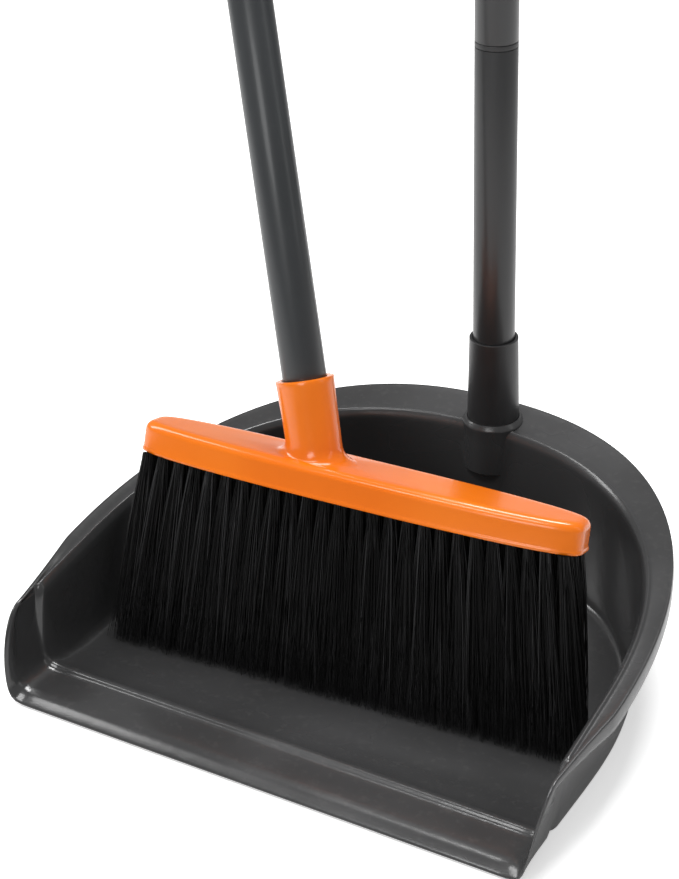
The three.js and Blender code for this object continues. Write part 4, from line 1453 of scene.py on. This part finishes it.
@dataclass
class Bristles:
    """Five rows of tufts under the broom's plate. Millimetres."""

    palette: Palette
    head: Head
    rows: int = 5
    pitch: float = 6.2
    tufts: int = 26
    inset: float = 7
    spread_left: float = 11
    spread_right: float = 28
    draw_in: float = 0.35
    strands_outside: int = 120
    strands_inside: int = 60
    root_radius: float = 2.6
    tip_radius: float = 7.4
    tip_depth: float = 4.8
    strand_radius: float = 0.32
    side_room: float = 0.5
    tip_room: float = 0.4
    first_seed: int = 11
    seed_step: int = 7

    def build(self) -> None:
        """Plants each row and hands it to the frame."""
        tree = TuftTree()
        for row in range(self.rows):
            offset = (row - (self.rows - 1) / 2) * self.pitch
            outside = row in (0, self.rows - 1)
            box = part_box(f"broom_tuft_row_{row + 1}")
            root = self.head.length / 2 - self.inset
            right = root + self.spread_right - self.draw_in * (row * self.pitch)
            right = min(right, box[1][0] / MM - self.head.x)
            left = root + self.spread_left
            holder = mesh_object(f"bristle_row_{row + 1}", bpy.data.meshes.new("row"))
            grow = holder.modifiers.new("grow", "NODES")
            grow.node_group = tree.tree
            values = {
                "Root Half": root * MM,
                "Left Reach": (left - self.side_room) * MM,
                "Right Reach": (right - self.side_room) * MM,
                "Length": (self.head.tip_distance(offset) - self.tip_room) * MM,
                "Slant": math.tan(math.radians(self.head.lean)),
                "Root Radius": self.root_radius * MM,
                "Tip Radius": self.tip_radius * MM,
                "Tip Depth": self.tip_depth * MM,
                "Strand Radius": self.strand_radius * MM,
                "Tufts": self.tufts,
                "Strands": self.strands_outside if outside else self.strands_inside,
                "Seed": self.first_seed + self.seed_step * row,
                "Finish": self.palette.bristle,
            }
            for label, value in values.items():
                grow[tree.inputs[label]] = value
            applied(holder)
            holder.data.transform(self.head.place @ Matrix.Translation((0, offset * MM, 0)))
            node = f"broom_tuft_row_{row + 1}"
            finished(holder, self.palette.bristle, "broom", [node], angle=180)


# ---- Floor, light and camera -----------------------------------------------------------------


@dataclass(frozen=True)
class SoftBox:
    """One soft box: where it hangs, what it faces, its width and height, and its watts."""

    name: str
    place: tuple[float, float, float]
    target: tuple[float, float, float]
    size: tuple[float, float]
    power: float

    def hang(self) -> None:
        """Adds the light to the scene."""
        light = bpy.data.lights.new(self.name, "AREA")
        light.shape, light.energy = "RECTANGLE", self.power
        light.size, light.size_y = self.size
        lamp = bpy.data.objects.new(self.name, light)
        lamp.location = self.place
        aim = Vector(self.target) - Vector(self.place)
        lamp.rotation_mode = "QUATERNION"
        lamp.rotation_quaternion = aim.to_track_quat("-Z", "Y")
        bpy.context.scene.collection.objects.link(lamp)


@dataclass
class Studio:
    """A pale floor, soft lights and the camera. Metres."""

    floor_size: float = 12.0
    floor_drop: float = 0.0004
    floor_glow: float = 0.5
    room_light: float = 0.3
    backdrop: tuple[float, float, float] = (0.93, 0.93, 0.93)
    lights: tuple[SoftBox, ...] = (
        SoftBox("left", (-1.5, -0.3, 1.3), (0, 0, 0.1), (0.4, 1.5), 17),
        SoftBox("right", (1.6, 0.4, 1.1), (0, 0, 0.1), (0.4, 1.4), 1.8),
        SoftBox("over", (-0.1, 0.6, 2.1), (0, 0, 0), (0.9, 0.6), 40),
        SoftBox("front", (0.3, -2.0, 1.2), (0, 0, 0.05), (0.9, 0.6), 9),
        SoftBox("streak", (-0.15, -0.8, 1.8), (0, 0.1, 0.08), (0.9, 0.25), 9),
    )
    camera_place: tuple[float, float, float] = (0.487988, -0.935334, 0.733581)
    camera_right: tuple[float, float, float] = (0.87272022, 0.48817709, 0.00652235)
    camera_up: tuple[float, float, float] = (-0.24991382, 0.43521782, 0.86494424)
    lens: float = 102.07

    def build(self) -> None:
        """Makes the floor, the lights and the camera."""
        self.build_floor()
        self.build_world()
        for light in self.lights:
            light.hang()
        self.build_camera()

    def build_floor(self) -> None:
        """Makes the floor."""
        half = self.floor_size / 2
        mesh = bpy.data.meshes.new("floor")
        corners = [(-half, -half, 0), (half, -half, 0), (half, half, 0), (-half, half, 0)]
        mesh.from_pydata(corners, [], [(0, 1, 2, 3)])
        floor = mesh_object("floor", mesh)
        floor.location.z = -self.floor_drop
        material = bpy.data.materials.new("pale_floor")
        material.use_nodes = True
        shader = material.node_tree.nodes["Principled BSDF"]
        shader.inputs["Base Color"].default_value = (0.9, 0.9, 0.9, 1)
        shader.inputs["Roughness"].default_value = 0.7
        shader.inputs["Specular IOR Level"].default_value = 0.1
        tree = Nodes(material.node_tree)
        glow = tree.add("ShaderNodeEmission")
        glow.inputs["Strength"].default_value = self.floor_glow
        seen = tree.add("ShaderNodeLightPath")
        share = tree.add("ShaderNodeMixShader")
        both = tree.add("ShaderNodeAddShader")
        tree.join(shader.outputs[0], both.inputs[0])
        tree.join(glow.outputs[0], both.inputs[1])
        tree.join(seen.outputs["Is Camera Ray"], share.inputs[0])
        tree.join(shader.outputs[0], share.inputs[1])
        tree.join(both.outputs[0], share.inputs[2])
        tree.join(share.outputs[0], material.node_tree.nodes["Material Output"].inputs["Surface"])
        mesh.materials.append(material)

    def build_world(self) -> None:
        """Makes the even light of a white room, with a paler backdrop behind the set."""
        world = bpy.data.worlds.new("room")
        world.use_nodes = True
        back = world.node_tree.nodes["Background"]
        back.inputs["Color"].default_value = (1, 1, 1, 1)
        back.inputs["Strength"].default_value = self.room_light
        tree = Nodes(world.node_tree)
        wall = tree.add("ShaderNodeBackground")
        wall.inputs["Color"].default_value = (*self.backdrop, 1)
        seen = tree.add("ShaderNodeLightPath")
        share = tree.add("ShaderNodeMixShader")
        tree.join(seen.outputs["Is Camera Ray"], share.inputs[0])
        tree.join(back.outputs[0], share.inputs[1])
        tree.join(wall.outputs[0], share.inputs[2])
        tree.join(share.outputs[0], world.node_tree.nodes["World Output"].inputs["Surface"])
        bpy.context.scene.world = world
        bpy.context.scene.view_settings.view_transform = "Standard"

    def build_camera(self) -> None:
        """Places the camera."""
        data = bpy.data.cameras.new("camera")
        data.lens, data.sensor_width = self.lens, 36.0
        data.clip_start, data.clip_end = 0.05, 50.0
        camera = bpy.data.objects.new("camera", data)
        right, up = Vector(self.camera_right), Vector(self.camera_up)
        back = right.cross(up)
        turn = Matrix((right, up, back)).transposed()
        camera.matrix_world = Matrix.Translation(Vector(self.camera_place)) @ turn.to_4x4()
        bpy.context.scene.collection.objects.link(camera)
        bpy.context.scene.camera = camera


# ---- The whole set ---------------------------------------------------------------------------


def dress_hidden(palette: Palette) -> None:
    """Gives the CAD nodes that stay their finish.

    Args:
        palette: The set's finishes.
    """
    for name in ("broom_base_plate", "broom_screw_tip"):
        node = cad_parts[name]
        node.data.materials.clear()
        node.data.materials.append(palette.dark)


def main() -> None:
    """Builds the set piece by piece."""
    logging.basicConfig(level=logging.INFO, format="%(message)s")
    palette = Palette(Effects())
    Studio().build()
    pan_place = DustPan(palette).build()
    foot = HandleFoot(palette, pan_place).build()
    Handle(palette, "pan", "dustpan", pan_place, foot, 4, 230, palette.pan_tube).build()
    Clip(palette, pan_place).build()
    head = Head(palette)
    head.build()
    Bristles(palette, head).build()
    Handle(palette, "broom", "broom", head.socket_place, head.socket_height - head.tube_seat, 5, 244,
           palette.broom_tube).build()
    dress_hidden(palette)


if __name__ == "__main__":
    main()
